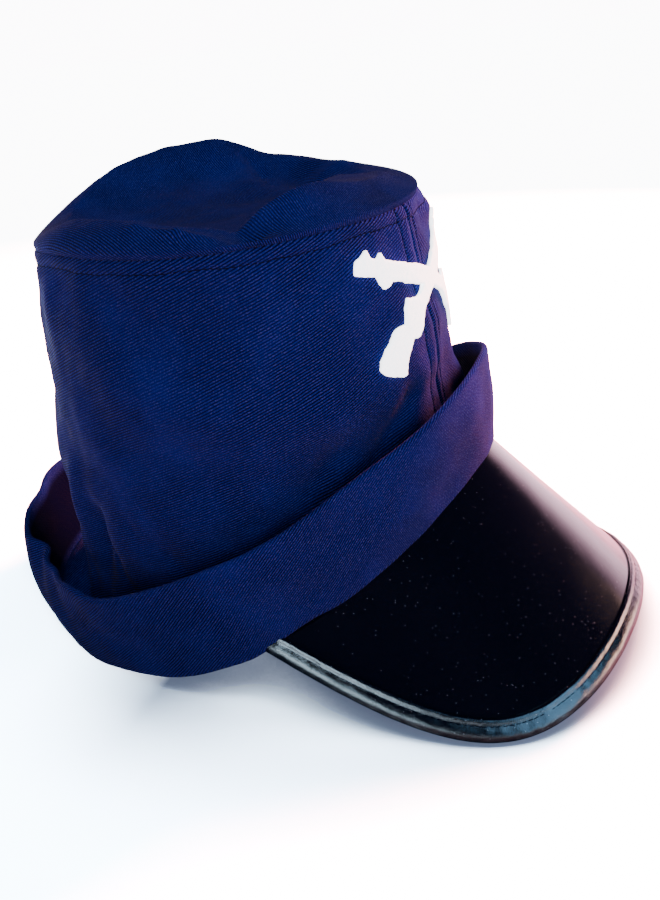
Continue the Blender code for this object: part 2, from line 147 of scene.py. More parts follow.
# The tip's section from seam to middle: share of the radius, share of the roll's height, share of the sink.
TIP_SECTION = table(
    "row reach roll sink",
    (0, 1.000, 0.00, 0.0),
    (1, 0.994, 0.22, 0.0),
    (2, 0.970, 0.48, 0.0),
    (3, 0.930, 0.74, 0.0),
    (4, 0.880, 0.94, 0.0),
    (5, 0.830, 1.00, 0.0),
    (6, 0.760, 0.84, 0.4),
    (7, 0.640, 0.46, 0.8),
    (8, 0.460, 0.18, 1.0),
    (9, 0.240, 0.04, 1.0),
    (10, 0.000, 0.00, 1.0),
)

# Swells and valleys of the tip's cloth, from one place to another, measured from its middle.
TIP_FOLDS = table(
    "from_x from_y to_x to_y width depth",
    (-38, -44, 12, -44, 20.0, 9.0),
    (56, 36, 30, -10, 9.0, 2.6),
    (66, 14, 44, -14, 8.0, -3.0),
)
TIP_FOLD_FADE = 0.18
TIP_CREASE_FADE = 0.06

# The turned-up cuff: its height along the cloth and how far its top edge stands out.
CUFF = table(
    "angle height flare",
    (-180, 43.0, -11.0),
    (-150, 43.0, -9.0),
    (-126, 41.5, -5.5),
    (-108, 37.5, -1.0),
    (-88, 40.5, 4.5),
    (-60, 39.5, 11.5),
    (-30, 39.5, 17.5),
    (0, 42.0, 18.5),
    (30, 43.0, 17.5),
    (60, 43.0, 11.5),
    (90, 43.0, 4.0),
    (120, 43.0, -4.0),
    (150, 43.0, -9.0),
)
CUFF_LEAN = 0.60
CUFF_BELLY = 0.8

# The visor: a sheet of straight rulings that leave the cap's foot forwards and down.
VISOR_HALF_ANGLE = 66.5
VISOR_LENGTH = 83.6
VISOR_END_LENGTH = 3.0
VISOR_SQUARENESS = 5.66
VISOR_DROP = 42.8
VISOR_CORNER_LIFT = 13.5
VISOR_FORWARD = 0.77
VISOR_BELOW_FOOT = 0.5
VISOR_TAB = 4.0
BINDING_WIDTH = 7.0
BINDING_END = 0.996
BINDING_STEPS = 2
BINDING_TAIL = 8.0

# The badge: two muskets crossed on the front seam. One musket's outline, by distance along its barrel.
MUSKET = table(
    "along upper lower",
    (-40.7, -0.8, -2.2),
    (-39.3, 0.9, -4.9),
    (-35.0, 1.7, -10.4),
    (-33.4, 2.0, -10.9),
    (-31.8, 2.4, -8.5),
    (-29.4, 3.1, -7.2),
    (-26.1, 2.0, -5.8),
    (-24.2, 0.5, -5.0),
    (-21.3, 4.9, -7.2),
    (-18.5, 6.3, -7.0),
    (-15.0, 3.1, -4.6),
    (-12.2, 2.0, -3.0),
    (-4.0, 2.8, -2.6),
    (10.0, 2.9, -3.1),
    (25.0, 2.2, -3.4),
    (26.6, 2.1, -5.2),
    (28.9, 2.2, -6.1),
    (30.8, 3.8, -4.9),
    (32.5, 1.9, -2.9),
    (35.2, 1.9, -3.1),
    (37.3, 4.0, -3.3),
    (39.5, 1.4, -3.5),
    (41.4, 0.4, -3.6),
)
MUSKET_TILT = 22.0
BADGE_RISE = 0.713
BADGE_FRONT_HEIGHT = 88.0
BADGE_DEGREE = 1.33

# ---- The fine form that only this file adds.

# Where the crown's front seam runs, by its rise.
FRONT_SEAM = table(
    "rise angle",
    (0.00, 1.5), (0.23, 1.25), (0.44, -1.75), (0.73, -2.75), (1.00, -3.0),
)

# Sharp wrinkles of the crown, low down where the cuff gathers it.
CROWN_CREASES = table(
    "from_angle from_rise to_angle to_rise width depth",
    (-126.5, 0.30, -125.8, 0.08, 3.6, -1.2),
    (-122, 0.26, -116, 0.13, 6.0, 0.6),
    (-118, 0.33, -112, 0.26, 4.2, -1.5),
    (-111, 0.25, -106, 0.15, 4.2, -1.6),
    (-101, 0.37, -100, 0.35, 4.0, -1.0),
    (-90, 0.28, -87, 0.25, 3.0, -1.0),
    (-74, 0.29, -72, 0.26, 4.0, -0.9),
    (-56, 0.34, -45, 0.18, 6.0, -0.9),
    (-30, 0.35, -23, 0.21, 5.0, -0.4),
    (-86, 0.88, -60, 0.80, 10.0, -0.8),
    (-140, 0.70, -118, 0.52, 9.0, -0.8),
)

# Sharp ridges and valleys of the tip, from one place to another, measured from its middle.
TIP_CREASES = table(
    "from_x from_y to_x to_y width depth",
    (-66, -4, -66, -20, 3.6, 1.6),
    (-66, -20, -64, -32, 3.6, 1.8),
    (-46, -26, -58, -42, 8.0, -4.5),
    (-38, -50, -26, -52, 6.0, 1.2),
    (54, 20, 50, 10, 4.5, -2.4),
    (50, 10, 41, 0, 5.0, -2.0),
    (41, 0, 28, -14, 6.0, -1.6),
    (49, -18, 58, -26, 5.0, 1.2),
)

# The section of a crease: how round its ridge is, and how fast it falls away.
CREASE_ROUNDING = 0.12
CREASE_START = 0.35
CREASE_FALL = 1.8

# Seams and stitch rows: how deep each sinks and how wide, and how far the cloth puffs beside it.
SEAM_DEPTH = 0.5
SEAM_WIDTH = 0.6
STITCH_ROW_DEPTH = 0.38
STITCH_ROW_WIDTH = 0.6
PUFF_HEIGHT = 0.3
PUFF_WIDTH = 1.8
TOPSTITCH_BELOW_SEAM = 4.9
TOPSTITCH_WANDER = 0.3
TOPSTITCH_WAVES = ((1.0, 7, 1.0), (0.6, 17, 0.0), (0.4, 41, 2.0))
FRONT_ROW_RIGHT = 7.6
FRONT_ROW_LEFT = 4.2
BACK_ROW = 5.0
EDGE_TUCK = 0.7
EDGE_TUCK_HEIGHT = 1.0
TIP_EDGE_TUCK = 0.007
TIP_EDGE_DROP = 0.4

# The crown's foot runs on into the cuff's fold, and the cloth lies calm beside the tip seam.
FOOT_RISE = 0.025
CALM_BELOW_SEAM = 6.0
EDGE_WAVES_AT = 4.0
TOP_WAVES_WIDTH = 6.0
FRONT_WAVES_WIDTH = 7.0
TIP_EDGE_WIDTH = 0.4
TIP_CALM = 8.0

# Where the cuff's top edge is pulled in and pushed up.
CUFF_PINCHES = table(
    "angle width inward upward",
    (-127, 5.5, 7.0, 0.0),
    (-116, 5.5, 3.6, 1.0),
    (-104, 7.5, 0.0, 4.6),
    (-160, 9.0, 2.5, -1.0),
)
PINCH_GROWTH = 1.6

# Below this height the cuff's cloth is pressed flat on the floor.
FLOOR_REST = 0.8

# How far the cuff swells between its foot and its top edge.
CUFF_SWELLS = table(
    "angle width outward",
    (-138, 20.0, 2.6),
    (-124, 12.0, 1.8),
    (-100, 16.0, -0.8),
)

# Where the cuff's foot is drawn up or down a little.
CUFF_FEET = table(
    "angle width lift",
    (-94, 16.0, 2.2),
    (-70, 5.0, -1.6),
    (-57, 6.0, 2.0),
)

# How far across the band, from its foot up and over, painted shade darkens its inner side and fades again.
CUFF_PAINTED_SHADE_SPAN = ((45.0, 49.0), (78.0, 82.0))
# How much of its blue the cuff's inner side keeps under its painted shade.
INSIDE_PAINTED_SHADE = 0.10

# The twill's weave: how far each rib's yarns lag behind its neighbour's, and what yarn, rib and grain lift.
YARN_STAGGER = 0.37
YARN_SHARE = 0.13
RIB_SHARE = 0.8
GRAIN_SHARE = 0.5

# Uneven dye, the painted highlight on yarns at the ribs' crests, lint and dust, and how the binding's
# wrinkles are drawn out.
FADED_GAIN = 1.3
FADED_LIFT = 0.001
FADED_SHARE = 0.45
PAINTED_GLINT_SHARE = 0.8
LINT_SHARE = 0.10
SPECK_RADIUS = 0.28
LINT_COLOUR = (0.25, 0.28, 0.40)
VISOR_DUST_COLOUR = (0.30, 0.33, 0.42)
BINDING_DUST_COLOUR = (0.35, 0.36, 0.42)
WRINKLE_DRAW = (1.0, 0.45, 1.0)
# Brightness of the painted shade in the felt's hollows.
FELT_PAINTED_HOLLOW_SHADE = 0.86

# Grid sizes of the fine surfaces.
SEAM_CELL = 0.4
CLOTH_CELL = 1.0
SEAM_BAND = 10.0
CROWN_HALF_RUN = 240.0
CROWN_ROWS = 100
CROWN_TOP_RISE = 0.92
CROWN_TOP_ROWS = 26
TIP_COLUMNS = 300
TIP_EDGE_ROWS = 14
TIP_ROWS = 84
CUFF_COLUMNS_FINE = 440
CUFF_ROWS_FINE = 34
CUFF_FOLD_STEPS = 6
CUFF_ANGLE_STEP = 0.1
VISOR_COLUMNS = 240
VISOR_ROWS = 70
VISOR_TAB_ROWS = 4
VISOR_MAP_HALF_WIDTH = 100.0
BINDING_STATIONS = 420
BINDING_GROOVE = 2.7
BINDING_WRINKLED = (2, 20)
BINDING_MAP_ROW = 5
BINDING_STITCHED = 0.995
BINDING_STITCH_SINK = 0.25

# Unevenness: how many waves make a layer, their sizes against its own, and each layer's height, size
# across and seed. The felt's waves are flatter through its thickness than along it.
WAVES = 12
WAVE_SIZES = (0.7, 1.5)
CROWN_WAVES = ((0.45, 34.0, 11), (0.16, 13.0, 12))
CROWN_EDGE_WAVES = ((0.10, 6.0, 13),)
TIP_WAVES = ((0.35, 30.0, 21), (0.10, 10.0, 22))
CUFF_WAVES = ((0.4, 42.0, 31), (0.12, 15.0, 32))
BINDING_WAVES = ((0.035, 3.5, 41), (0.05, 12.0, 42))
BADGE_WAVES = ((0.07, 2.2, 51), (0.09, 6.0, 52))
BADGE_WAVE_SCALE = (1.0, 1.0, 0.4)
BADGE_RAGGED_SCALE = (1.0, 1.0, 0.35)
BADGE_FULLNESS = 0.22
BADGE_REST = 0.3
FELT_CELL = 0.34
FELT_EASING = 0.5
FELT_EASING_STEPS = 4


def smooth_table(rows, name, at, period=0.0):
    """Reads a column of a table at any value of its first one, along a smooth curve through the rows."""
    knots = next(iter(rows.values()))
    values = rows[name]
    if period:
        knots = np.concatenate((knots[-2:] - period, knots, knots[:2] + period))
        values = np.concatenate((values[-2:], values, values[:2]))
        at = (at - knots[2]) % period + knots[2]
    slopes = np.gradient(values, knots)
    index = np.clip(np.searchsorted(knots, at, side="right") - 1, 0, len(knots) - 2)
    step = knots[index + 1] - knots[index]
    part = (at - knots[index]) / step
    climb = values[index + 1] - values[index]
    start = slopes[index] * step
    end = slopes[index + 1] * step
    square_term = 3 * climb - 2 * start - end
    cube_term = start + end - 2 * climb
    return values[index] + part * (start + part * (square_term + part * cube_term))


def unit(vectors):
    """Vectors of length one."""
    return vectors / np.linalg.norm(vectors, axis=-1, keepdims=True)


def place(x, y, z):
    """Points with these coordinates, any of which may be a plain number."""
    return np.stack(np.broadcast_arrays(x, y, z), axis=-1).astype(float)


def upward(height):
    """The way straight up by this much."""
    return place(0.0, 0.0, height)


def running(steps):
    """How far a line has run at each of its points, from the steps between them."""
    return np.concatenate(([0.0], np.cumsum(steps)))


def bump(distance, width):
    """A bell-shaped swell of height one."""
    return np.exp(-((distance / width) ** 2))


def off_line(places, start, end):
    """How far each place lies from a straight line between two places."""
    run = end - start
    share = np.clip((places - start) @ run / (run @ run), 0.0, 1.0)
    return np.linalg.norm(places - start - share[..., None] * run, axis=-1)


def folds(places, rows, scale, sharp=False):
    """The summed depth of a table's folds; a sharp one has a crease along its middle."""
    total = 0.0
    for from_a, from_b, to_a, to_b, width, depth in zip(*rows.values()):
        start = np.array([from_a, from_b]) * scale
        end = np.array([to_a, to_b]) * scale
        off = off_line(places, start, end) / width
        rounded = np.sqrt(off**2 + CREASE_ROUNDING) - CREASE_START
        section = np.exp(-rounded * CREASE_FALL) if sharp else np.exp(-(off**2))
        total = total + depth * section
    return total


def soft_waves(points, size, seed):
    """Gentle unevenness between about -1 and 1, the same each run, with swells about this far across."""
    random = np.random.default_rng(seed)
    ways = unit(random.normal(size=(WAVES, 3)))
    sizes = size * random.uniform(*WAVE_SIZES, WAVES)
    shifts = random.uniform(0.0, 2 * math.pi, WAVES)
    turns = points @ (ways / sizes[:, None]).T * 2 * math.pi + shifts
    return np.sin(turns).sum(axis=-1) / math.sqrt(WAVES / 2)


def uneven(points, layers):
    """The summed waves of these layers."""
    return sum(height * soft_waves(points, size, seed) for height, size, seed in layers)


def outward(angle):
    """The level direction square to the head oval."""
    turn = np.radians(angle)
    return unit(place(np.sin(turn) / HEAD_HALF_WIDTH, -np.cos(turn) / HEAD_HALF_LENGTH, 0.0))


def foot_point(angle):
    """A point of the fold line at the cap's foot."""
    turn = np.radians(angle)
    height = smooth_table(FOOT_LINE, "height", angle, FULL_TURN)
    return place(HEAD_HALF_WIDTH * np.sin(turn), -HEAD_HALF_LENGTH * np.cos(turn), height)


def tip_ring_point(angle, reach):
    """A point of the tip seam, or inside it at this share of its radius."""
    turn = np.radians(angle)
    lift = smooth_table(TIP_SEAM, "lift", angle, FULL_TURN)
    x = TIP_RADIUS * reach * np.sin(turn)
    y = -TIP_FORWARD - TIP_RADIUS * reach * np.cos(turn)
    return place(x, y, TIP_HEIGHT + lift * reach)


def crown_point(angle, rise, creased=False):
    """A point of the crown's outer face, from its foot (rise 0) to the tip seam (rise 1)."""
    foot = foot_point(angle) - outward(angle) * (CUFF_CLOTH + GAP) + upward(CROWN_FOOT_LIFT)
    straight = foot + (tip_ring_point(angle, 1.0) - foot) * rise[..., None]
    front_share = np.cos(np.radians(angle))
    side = smooth_table(CROWN_WALL, "side", rise)
    front = smooth_table(CROWN_WALL, "front", rise)
    back = smooth_table(CROWN_WALL, "back", rise)
    inset = side + (np.where(front_share > 0, front, back) - side) * front_share**2
    fade = np.clip(rise / FOLD_FADE, 0.0, 1.0) * np.clip((1.0 - rise) / FOLD_FADE, 0.0, 1.0)
    scale = np.array([math.radians(CROWN_MEAN_RADIUS), CROWN_MEAN_HEIGHT])
    places = np.stack(np.broadcast_arrays(angle, rise), axis=-1) * scale
    depth = folds(places, CROWN_FOLDS, scale)
    if creased:
        depth = depth + folds(places, CROWN_CREASES, scale, sharp=True)
    return straight + outward(angle) * (depth * fade - inset)[..., None]


def tip_point(angle, row, creased=False):
    """A point of the tip's upper face. Row -1 is the foot of its skirt, the last row its middle."""
    inner_row = np.clip(row, 0.0, None)
    reach = smooth_table(TIP_SECTION, "reach", inner_row)
    roll_share = smooth_table(TIP_SECTION, "roll", inner_row)
    sink_share = smooth_table(TIP_SECTION, "sink", inner_row)
    roll = smooth_table(TIP_ROLL, "height", angle, FULL_TURN)
    point = tip_ring_point(angle, reach)
    fade = np.clip((1.0 - reach) / TIP_FOLD_FADE, 0.0, 1.0)
    places = point[..., :2] + np.array([0.0, TIP_FORWARD])
    depth = folds(places, TIP_FOLDS, 1.0) * fade
    if creased:
        crease_fade = np.clip((1.0 - reach) / TIP_CREASE_FADE, 0.0, 1.0)
        depth = depth + folds(places, TIP_CREASES, 1.0, sharp=True) * crease_fade
    skirt = TIP_SKIRT * np.clip(row + 1.0, 0.0, 1.0)
    height = GAP + skirt + roll * roll_share - TIP_SINK * sink_share + depth
    return point + upward(height)


def cuff_point(angle, share):
    """A point of the cuff's outer face, from its foot (share 0) to its top edge (share 1)."""
    up = unit(place(0.0, CUFF_LEAN, 1.0))
    height = smooth_table(CUFF, "height", angle, FULL_TURN) * share
    flare = smooth_table(CUFF, "flare", angle, FULL_TURN) * share
    belly = CUFF_BELLY * np.sin(np.pi * share)
    return foot_point(angle) + outward(angle) * (flare + belly)[..., None] + up * height[..., None]


def visor_direction(share):
    """The way that the visor's ruling runs at this share of its half angle."""
    level = unit(outward(share * VISOR_HALF_ANGLE) * (1 - VISOR_FORWARD) + place(0.0, -VISOR_FORWARD, 0.0))
    drop = np.radians(VISOR_DROP - VISOR_CORNER_LIFT * share**2)[..., None]
    return np.cos(drop) * level - np.sin(drop) * upward(1.0)


def visor_length(share):
    """The length of the visor's ruling at this share of its half angle."""
    return VISOR_END_LENGTH + (VISOR_LENGTH - VISOR_END_LENGTH) * (1 - np.abs(share) ** VISOR_SQUARENESS)


def visor_point(share, reach):
    """A point of the visor's upper face, along a ruling from the cuff's foot or, below 0, on its tab."""
    angle = share * VISOR_HALF_ANGLE
    tab = np.clip(reach, None, 0.0)[..., None]
    root = foot_point(angle) - outward(angle) * (CUFF_CLOTH / 2 - tab) - upward(VISOR_BELOW_FOOT)
    return root + visor_direction(share) * np.clip(reach, 0.0, None)[..., None]


def visor_slope(share, reach):
    """The change of the visor's point with its share, and the upward direction square to its face."""
    change = visor_point(share + SHARE_STEP, reach) - visor_point(share - SHARE_STEP, reach)
    change = change / (2 * SHARE_STEP)
    return change, unit(np.cross(visor_direction(share), change))


def binding_point(share, inward, above):
    """A point this far in from the visor's edge, or beyond it below 0, and above its upper face."""
    reach = visor_length(share)
    after = visor_point(share + SHARE_STEP, visor_length(share + SHARE_STEP))
    before = visor_point(share - SHARE_STEP, visor_length(share - SHARE_STEP))
    edge_run = unit(after - before)
    for _ in range(BINDING_STEPS):
        change, square = visor_slope(share, reach)
        way = np.cross(square, edge_run) * (np.clip(inward, 0.0, None) / BINDING_STEPS)[..., None]
        axes = np.stack((change, visor_direction(share), square), axis=-1)
        moved = np.linalg.solve(axes, way[..., None])[..., 0]
        share = share + moved[..., 0]
        reach = reach + moved[..., 1]
    change, square = visor_slope(share, reach)
    beyond = np.cross(square, edge_run) * np.clip(inward, None, 0.0)[..., None]
    return visor_point(share, reach) + square * above[..., None] + beyond


# ---- Meshes.


def to_world(points):
    """Points about the crown's axis in millimetres, as points about the origin in metres."""
    return (points + np.array([0.0, AXIS_BEHIND_ORIGIN, 0.0])) * MM


def add_object(name, data):
    """A new object in the scene."""
    item = bpy.data.objects.new(name, data)
    bpy.context.scene.collection.objects.link(item)
    return item


def grid_piece(name, points, flat, material, round_columns=False, round_rows=False):
    """A smooth mesh over a grid of points, with each point's place in the flat cloth as its UV map."""
    rows, columns = points.shape[:2]
    used_rows = rows - 1 if round_rows else rows
    used_columns = columns - 1 if round_columns else columns
    numbers = np.arange(used_rows * used_columns).reshape(used_rows, used_columns)
    row = np.arange(rows - 1)[:, None]
    col = np.arange(columns - 1)[None, :]
    around = ((0, 0), (0, 1), (1, 1), (1, 0))
    corners = []
    places = []
    for down, along in around:
        r = row + down
        c = col + along
        corners.append(numbers[r % used_rows, c % used_columns])
        places.append(flat[r + 0 * c, c + 0 * r])
    faces = np.stack(corners, axis=-1).reshape(-1, 4)
    uvs = np.stack(places, axis=-2).reshape(-1, 2)
    kept = points[:used_rows, :used_columns].reshape(-1, 3)
    mesh = bpy.data.meshes.new(name)
    mesh.vertices.add(len(kept))
    mesh.vertices.foreach_set("co", to_world(kept).astype(np.float32).ravel())
    mesh.loops.add(faces.size)
    mesh.loops.foreach_set("vertex_index", faces.astype(np.int32).ravel())
    mesh.polygons.add(len(faces))
    mesh.polygons.foreach_set("loop_start", np.arange(len(faces), dtype=np.int32) * 4)
    mesh.update(calc_edges=True)
    layer = mesh.uv_layers.new(name=CLOTH_MAP)
    layer.data.foreach_set("uv", uvs.astype(np.float32).ravel())
    mesh.shade_smooth()
    mesh.materials.append(material)
    return add_object(name, mesh)


def write_shape(shape, mesh):
    """Writes an edited shape to its mesh."""
    shape.to_mesh(mesh)
    shape.free()
    return mesh


def weld(item):
    """Joins corners that lie together, as at the middle of the tip."""
    shape = bmesh.new()
    shape.from_mesh(item.data)
    bmesh.ops.remove_doubles(shape, verts=shape.verts, dist=WELD_REACH * MM)
    write_shape(shape, item.data)


def add_wall(item, thickness):
    """Gives a sheet its thickness, laid inwards."""
    wall = item.modifiers.new("wall", "SOLIDIFY")
    wall.thickness = thickness * MM
    wall.offset = -1.0


def dress(item, *nodes):
    """Hangs a piece from the root body, and hides the frame nodes that it stands for."""
    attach(item, "root")
    if nodes:
        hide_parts(*nodes)
    return item


# ---- Shader nodes.


def feed(tree, item, inputs):
    """Links each of a node's inputs to a socket or sets it to a value."""
    for name, value in inputs.items():
        if isinstance(value, bpy.types.NodeSocket):
            tree.links.new(value, item.inputs[name])
        else:
            item.inputs[name].default_value = value
    return item


def add_node(tree, kind, inputs=None, **settings):
    """Adds a node with these settings and inputs."""
    item = tree.nodes.new(kind)
    for name, value in settings.items():
        setattr(item, name, value)
    return feed(tree, item, inputs or {})


def reckon(tree, operation, first, second=0.0, third=0.0):
    """One step of arithmetic on numbers or sockets."""
    return add_node(tree, "ShaderNodeMath", {0: first, 1: second, 2: third}, operation=operation).outputs[0]


def times(tree, first, second):
    """The product of two numbers or sockets."""
    return reckon(tree, "MULTIPLY", first, second)


def blend_colours(tree, share, first, second, blend_type="MIX"):
    """Mixes two colours, or the colours of two sockets, by a share."""
    first, second = (
        item if isinstance(item, bpy.types.NodeSocket) else rgba(item) for item in (first, second)
    )
    inputs = {0: share, 6: first, 7: second}
    return add_node(tree, "ShaderNodeMix", inputs, data_type="RGBA", blend_type=blend_type).outputs[2]


def rgba(colour):
    """A colour with full opacity."""
    return (*colour, 1.0)


def scaled(colour, strength):
    """A colour dimmed, or brightened past white."""
    return tuple(part * strength for part in colour)


def name_sockets(tree, inputs, outputs):
    """Gives a node group its named sockets, and puts in its input and output nodes."""
    for label, kind, value in inputs:
        socket = tree.interface.new_socket(label, in_out="INPUT", socket_type=f"NodeSocket{kind}")
        if value is not None:
            socket.default_value = value
    for label, kind in outputs:
        tree.interface.new_socket(label, in_out="OUTPUT", socket_type=f"NodeSocket{kind}")
    return tree.nodes.new("NodeGroupInput").outputs, tree.nodes.new("NodeGroupOutput")


def twill_group():
    """Diagonal twill ribs, each made of short yarns, on the flat cloth's map in millimetres."""
    name = "twill weave"
    if name in bpy.data.node_groups:
        return bpy.data.node_groups[name]
    tree = bpy.data.node_groups.new(name, "ShaderNodeTree")
    given, result = name_sockets(
        tree,
        [
            ("Place", "Vector", None),
            ("Pitch", "Float", 1.0),
            ("Angle", "Float", 0.35),
            ("Yarn", "Float", 1.3),
            ("Wander", "Float", 0.25),
        ],
        [("Height", "Float"), ("Rib", "Float"), ("Slub", "Float")],
    )
    where = given["Place"]
    inputs = {"Vector": where, "Angle": times(tree, given["Angle"], -1.0)}
    turned = add_node(tree, "ShaderNodeVectorRotate", inputs, rotation_type="Z_AXIS").outputs[0]
    parts = add_node(tree, "ShaderNodeSeparateXYZ", {0: turned}).outputs
    drift = noise(tree, where, scale=0.22, detail=2.0, roughness=0.5)
    sway = times(tree, reckon(tree, "SUBTRACT", drift, 0.5), given["Wander"])
    across = reckon(tree, "ADD", reckon(tree, "DIVIDE", parts[1], given["Pitch"]), sway)
    off_middle = reckon(tree, "ABSOLUTE", reckon(tree, "SUBTRACT", reckon(tree, "FRACT", across), 0.5))
    rib = reckon(tree, "SUBTRACT", 1.0, reckon(tree, "POWER", times(tree, off_middle, 2.0), 2.0))
    stagger = times(tree, reckon(tree, "FLOOR", across), YARN_STAGGER)
    along = reckon(tree, "ADD", reckon(tree, "DIVIDE", parts[0], given["Yarn"]), stagger)
    yarn = reckon(tree, "SINE", times(tree, along, 2 * math.pi))
    grain = noise(tree, where, scale=1.6, detail=3.0, roughness=0.7)
    lifted = reckon(tree, "MULTIPLY_ADD", yarn, YARN_SHARE, times(tree, rib, RIB_SHARE))
    height = reckon(tree, "MULTIPLY_ADD", reckon(tree, "SUBTRACT", grain, 0.5), GRAIN_SHARE, lifted)
    feed(tree, result, {"Height": height, "Rib": rib, "Slub": grain})
    return tree


def dust_group():
    """Specks of dust and short hairs, as a mask over the surface."""
    name = "dust and lint"
    if name in bpy.data.node_groups:
        return bpy.data.node_groups[name]
    tree = bpy.data.node_groups.new(name, "ShaderNodeTree")
    inputs = [("Place", "Vector", None), ("Speck Size", "Float", 1400.0), ("Amount", "Float", 0.03)]
    given, result = name_sockets(tree, inputs, [("Mask", "Float")])
    spread = {"Vector": given["Place"], "Scale": given["Speck Size"], "Randomness": 1.0}
    cells = add_node(tree, "ShaderNodeTexVoronoi", spread).outputs
    chance = add_node(tree, "ShaderNodeSeparateColor", {0: cells["Color"]}).outputs[0]
    chosen = reckon(tree, "LESS_THAN", chance, given["Amount"])
    near = reckon(tree, "LESS_THAN", cells["Distance"], SPECK_RADIUS)
    feed(tree, result, {"Mask": times(tree, chosen, near)})
    return tree


def use_group(tree, group, inputs):
    """Places a node group in a material."""
    return feed(tree, add_node(tree, "ShaderNodeGroup", node_tree=group), inputs)


def start_material(name, roughness, **sockets):
    """A material with its shader; plain numbers go straight on the shader's own sockets."""
    material = bpy.data.materials.new(name)
    material.use_nodes = True
    shader = material.node_tree.nodes["Principled BSDF"]
    shader.inputs["Roughness"].default_value = roughness
    for label, value in sockets.items():
        shader.inputs[label.replace("_", " ").title().replace("Ior", "IOR")].default_value = value
    return material, material.node_tree, shader


def object_place(tree):
    """The point's own place on the object."""
    return add_node(tree, "ShaderNodeTexCoord").outputs["Object"]


def flat_place(tree):
    """The point's place in the flat cloth, in millimetres."""
    return add_node(tree, "ShaderNodeUVMap", uv_map=CLOTH_MAP).outputs[0]


def noise(tree, where, scale, detail=3.0, roughness=0.55):
    """A noise texture's value."""
    inputs = {"Vector": where, "Scale": scale, "Detail": detail, "Roughness": roughness}
    return add_node(tree, "ShaderNodeTexNoise", inputs).outputs[0]


def ramp(tree, value, low, high, start=0.0, end=1.0):
    """Maps a value from one range to another, held at the ends."""
    return add_node(tree, "ShaderNodeMapRange", {0: value, 1: low, 2: high, 3: start, 4: end}).outputs[0]


def relief(tree, height, depth, onto=None):
    """A bumped normal from a height, over another normal where one is given."""
    inputs = {"Height": height, "Distance": depth}
    if onto is not None:
        inputs["Normal"] = onto
    return add_node(tree, "ShaderNodeBump", inputs).outputs[0]


def dust(tree, where, size, amount):
    """Where specks lie on a surface."""
    return use_group(tree, dust_group(), {"Place": where, "Speck Size": size, "Amount": amount}).outputs[0]


def twill_material(name, settings, pitch, angle, inside=None):
    """Navy twill: ribs with a painted highlight on their crests over furrows darkened by painted shade,
    unevenly dyed, with lint; painted shade makes it nearly black inside.
    """
    material, tree, shader = start_material(
        name,
        roughness=settings.roughness,
        sheen_weight=settings.sheen,
        sheen_roughness=0.35,
        sheen_tint=rgba(settings.sheen_colour),
        specular_ior_level=0.015,
    )
    flat = flat_place(tree)
    solid = object_place(tree)
    threads = {"Place": flat, "Pitch": pitch, "Angle": math.radians(angle), "Yarn": settings.yarn_length}
    weave = use_group(tree, twill_group(), threads).outputs
    # Painted shade: the furrows between the ribs are darkened in colour.
    painted_furrow_colour = scaled(settings.navy, settings.furrow_shade)
    faded = tuple(part * FADED_GAIN + FADED_LIFT for part in settings.navy)
    cloth = blend_colours(tree, ramp(tree, weave["Rib"], low=0.45, high=0.95), painted_furrow_colour, settings.navy)
    blotch = ramp(tree, noise(tree, solid, scale=38.0, detail=4.0), low=0.42, high=0.72)
    cloth = blend_colours(tree, times(tree, blotch, FADED_SHARE), cloth, faded)
    slub = ramp(tree, weave["Slub"], low=0.25, high=0.75, start=0.62, end=1.42)
    cloth = blend_colours(tree, 1.0, cloth, slub, "MULTIPLY")
    # Painted highlight: yarns on the ribs' crests are lightened towards the glint colour.
    crest = ramp(tree, weave["Rib"], low=0.60, high=1.0)
    painted_glint_mask = times(tree, crest, ramp(tree, weave["Slub"], low=0.50, high=0.66))
    cloth = blend_colours(tree, times(tree, painted_glint_mask, PAINTED_GLINT_SHARE), cloth, settings.glint)
    lint = dust(tree, solid, size=1500.0, amount=0.004)
    cloth = blend_colours(tree, times(tree, lint, LINT_SHARE), cloth, LINT_COLOUR)
    # Painted shade: the cuff's inner side, which lies in deep shade, is darkened nearly to black.
    if inside:
        across = add_node(tree, "ShaderNodeSeparateXYZ", {0: flat}).outputs["Y"]
        turned_in, turned_out = inside
        before_end = ramp(tree, across, *turned_out, start=1.0, end=0.0)
        inner = times(tree, ramp(tree, across, *turned_in), before_end)
        cloth = blend_colours(tree, inner, cloth, scaled(settings.navy, INSIDE_PAINTED_SHADE))
    fuzz = noise(tree, solid, scale=2600.0, detail=2.0)
    ribs = relief(tree, weave["Height"], settings.rib_depth)
    feed(tree, shader, {"Base Color": cloth, "Normal": relief(tree, fuzz, depth=0.00004, onto=ribs)})
    return material


def thread_material(settings):
    """Blue-black sewing thread, twisted, with a painted highlight where its twist stands up."""
    material, tree, shader = start_material("dark thread", roughness=0.9, specular_ior_level=0.03)
    twist = noise(tree, object_place(tree), scale=3000.0, detail=1.0)
    # Painted highlight: the thread is lighter where its twist is raised.
    colour = blend_colours(tree, twist, settings.thread, settings.thread_painted_highlight)
    feed(tree, shader, {"Base Color": colour, "Normal": relief(tree, twist, depth=0.00005)})
    return material


def gloss_vinyl(tree, shader, settings, rough, normal, specks, colour, share, dulled):
    """Finishes black vinyl with its relief, and with dust that dulls it and lightens its colour."""
    feed(
        tree,
        shader,
        {
            "Base Color": blend_colours(tree, times(tree, specks, share), settings.black, colour),
            "Roughness": reckon(tree, "MULTIPLY_ADD", specks, dulled, rough),
            "Normal": normal,
        },
    )


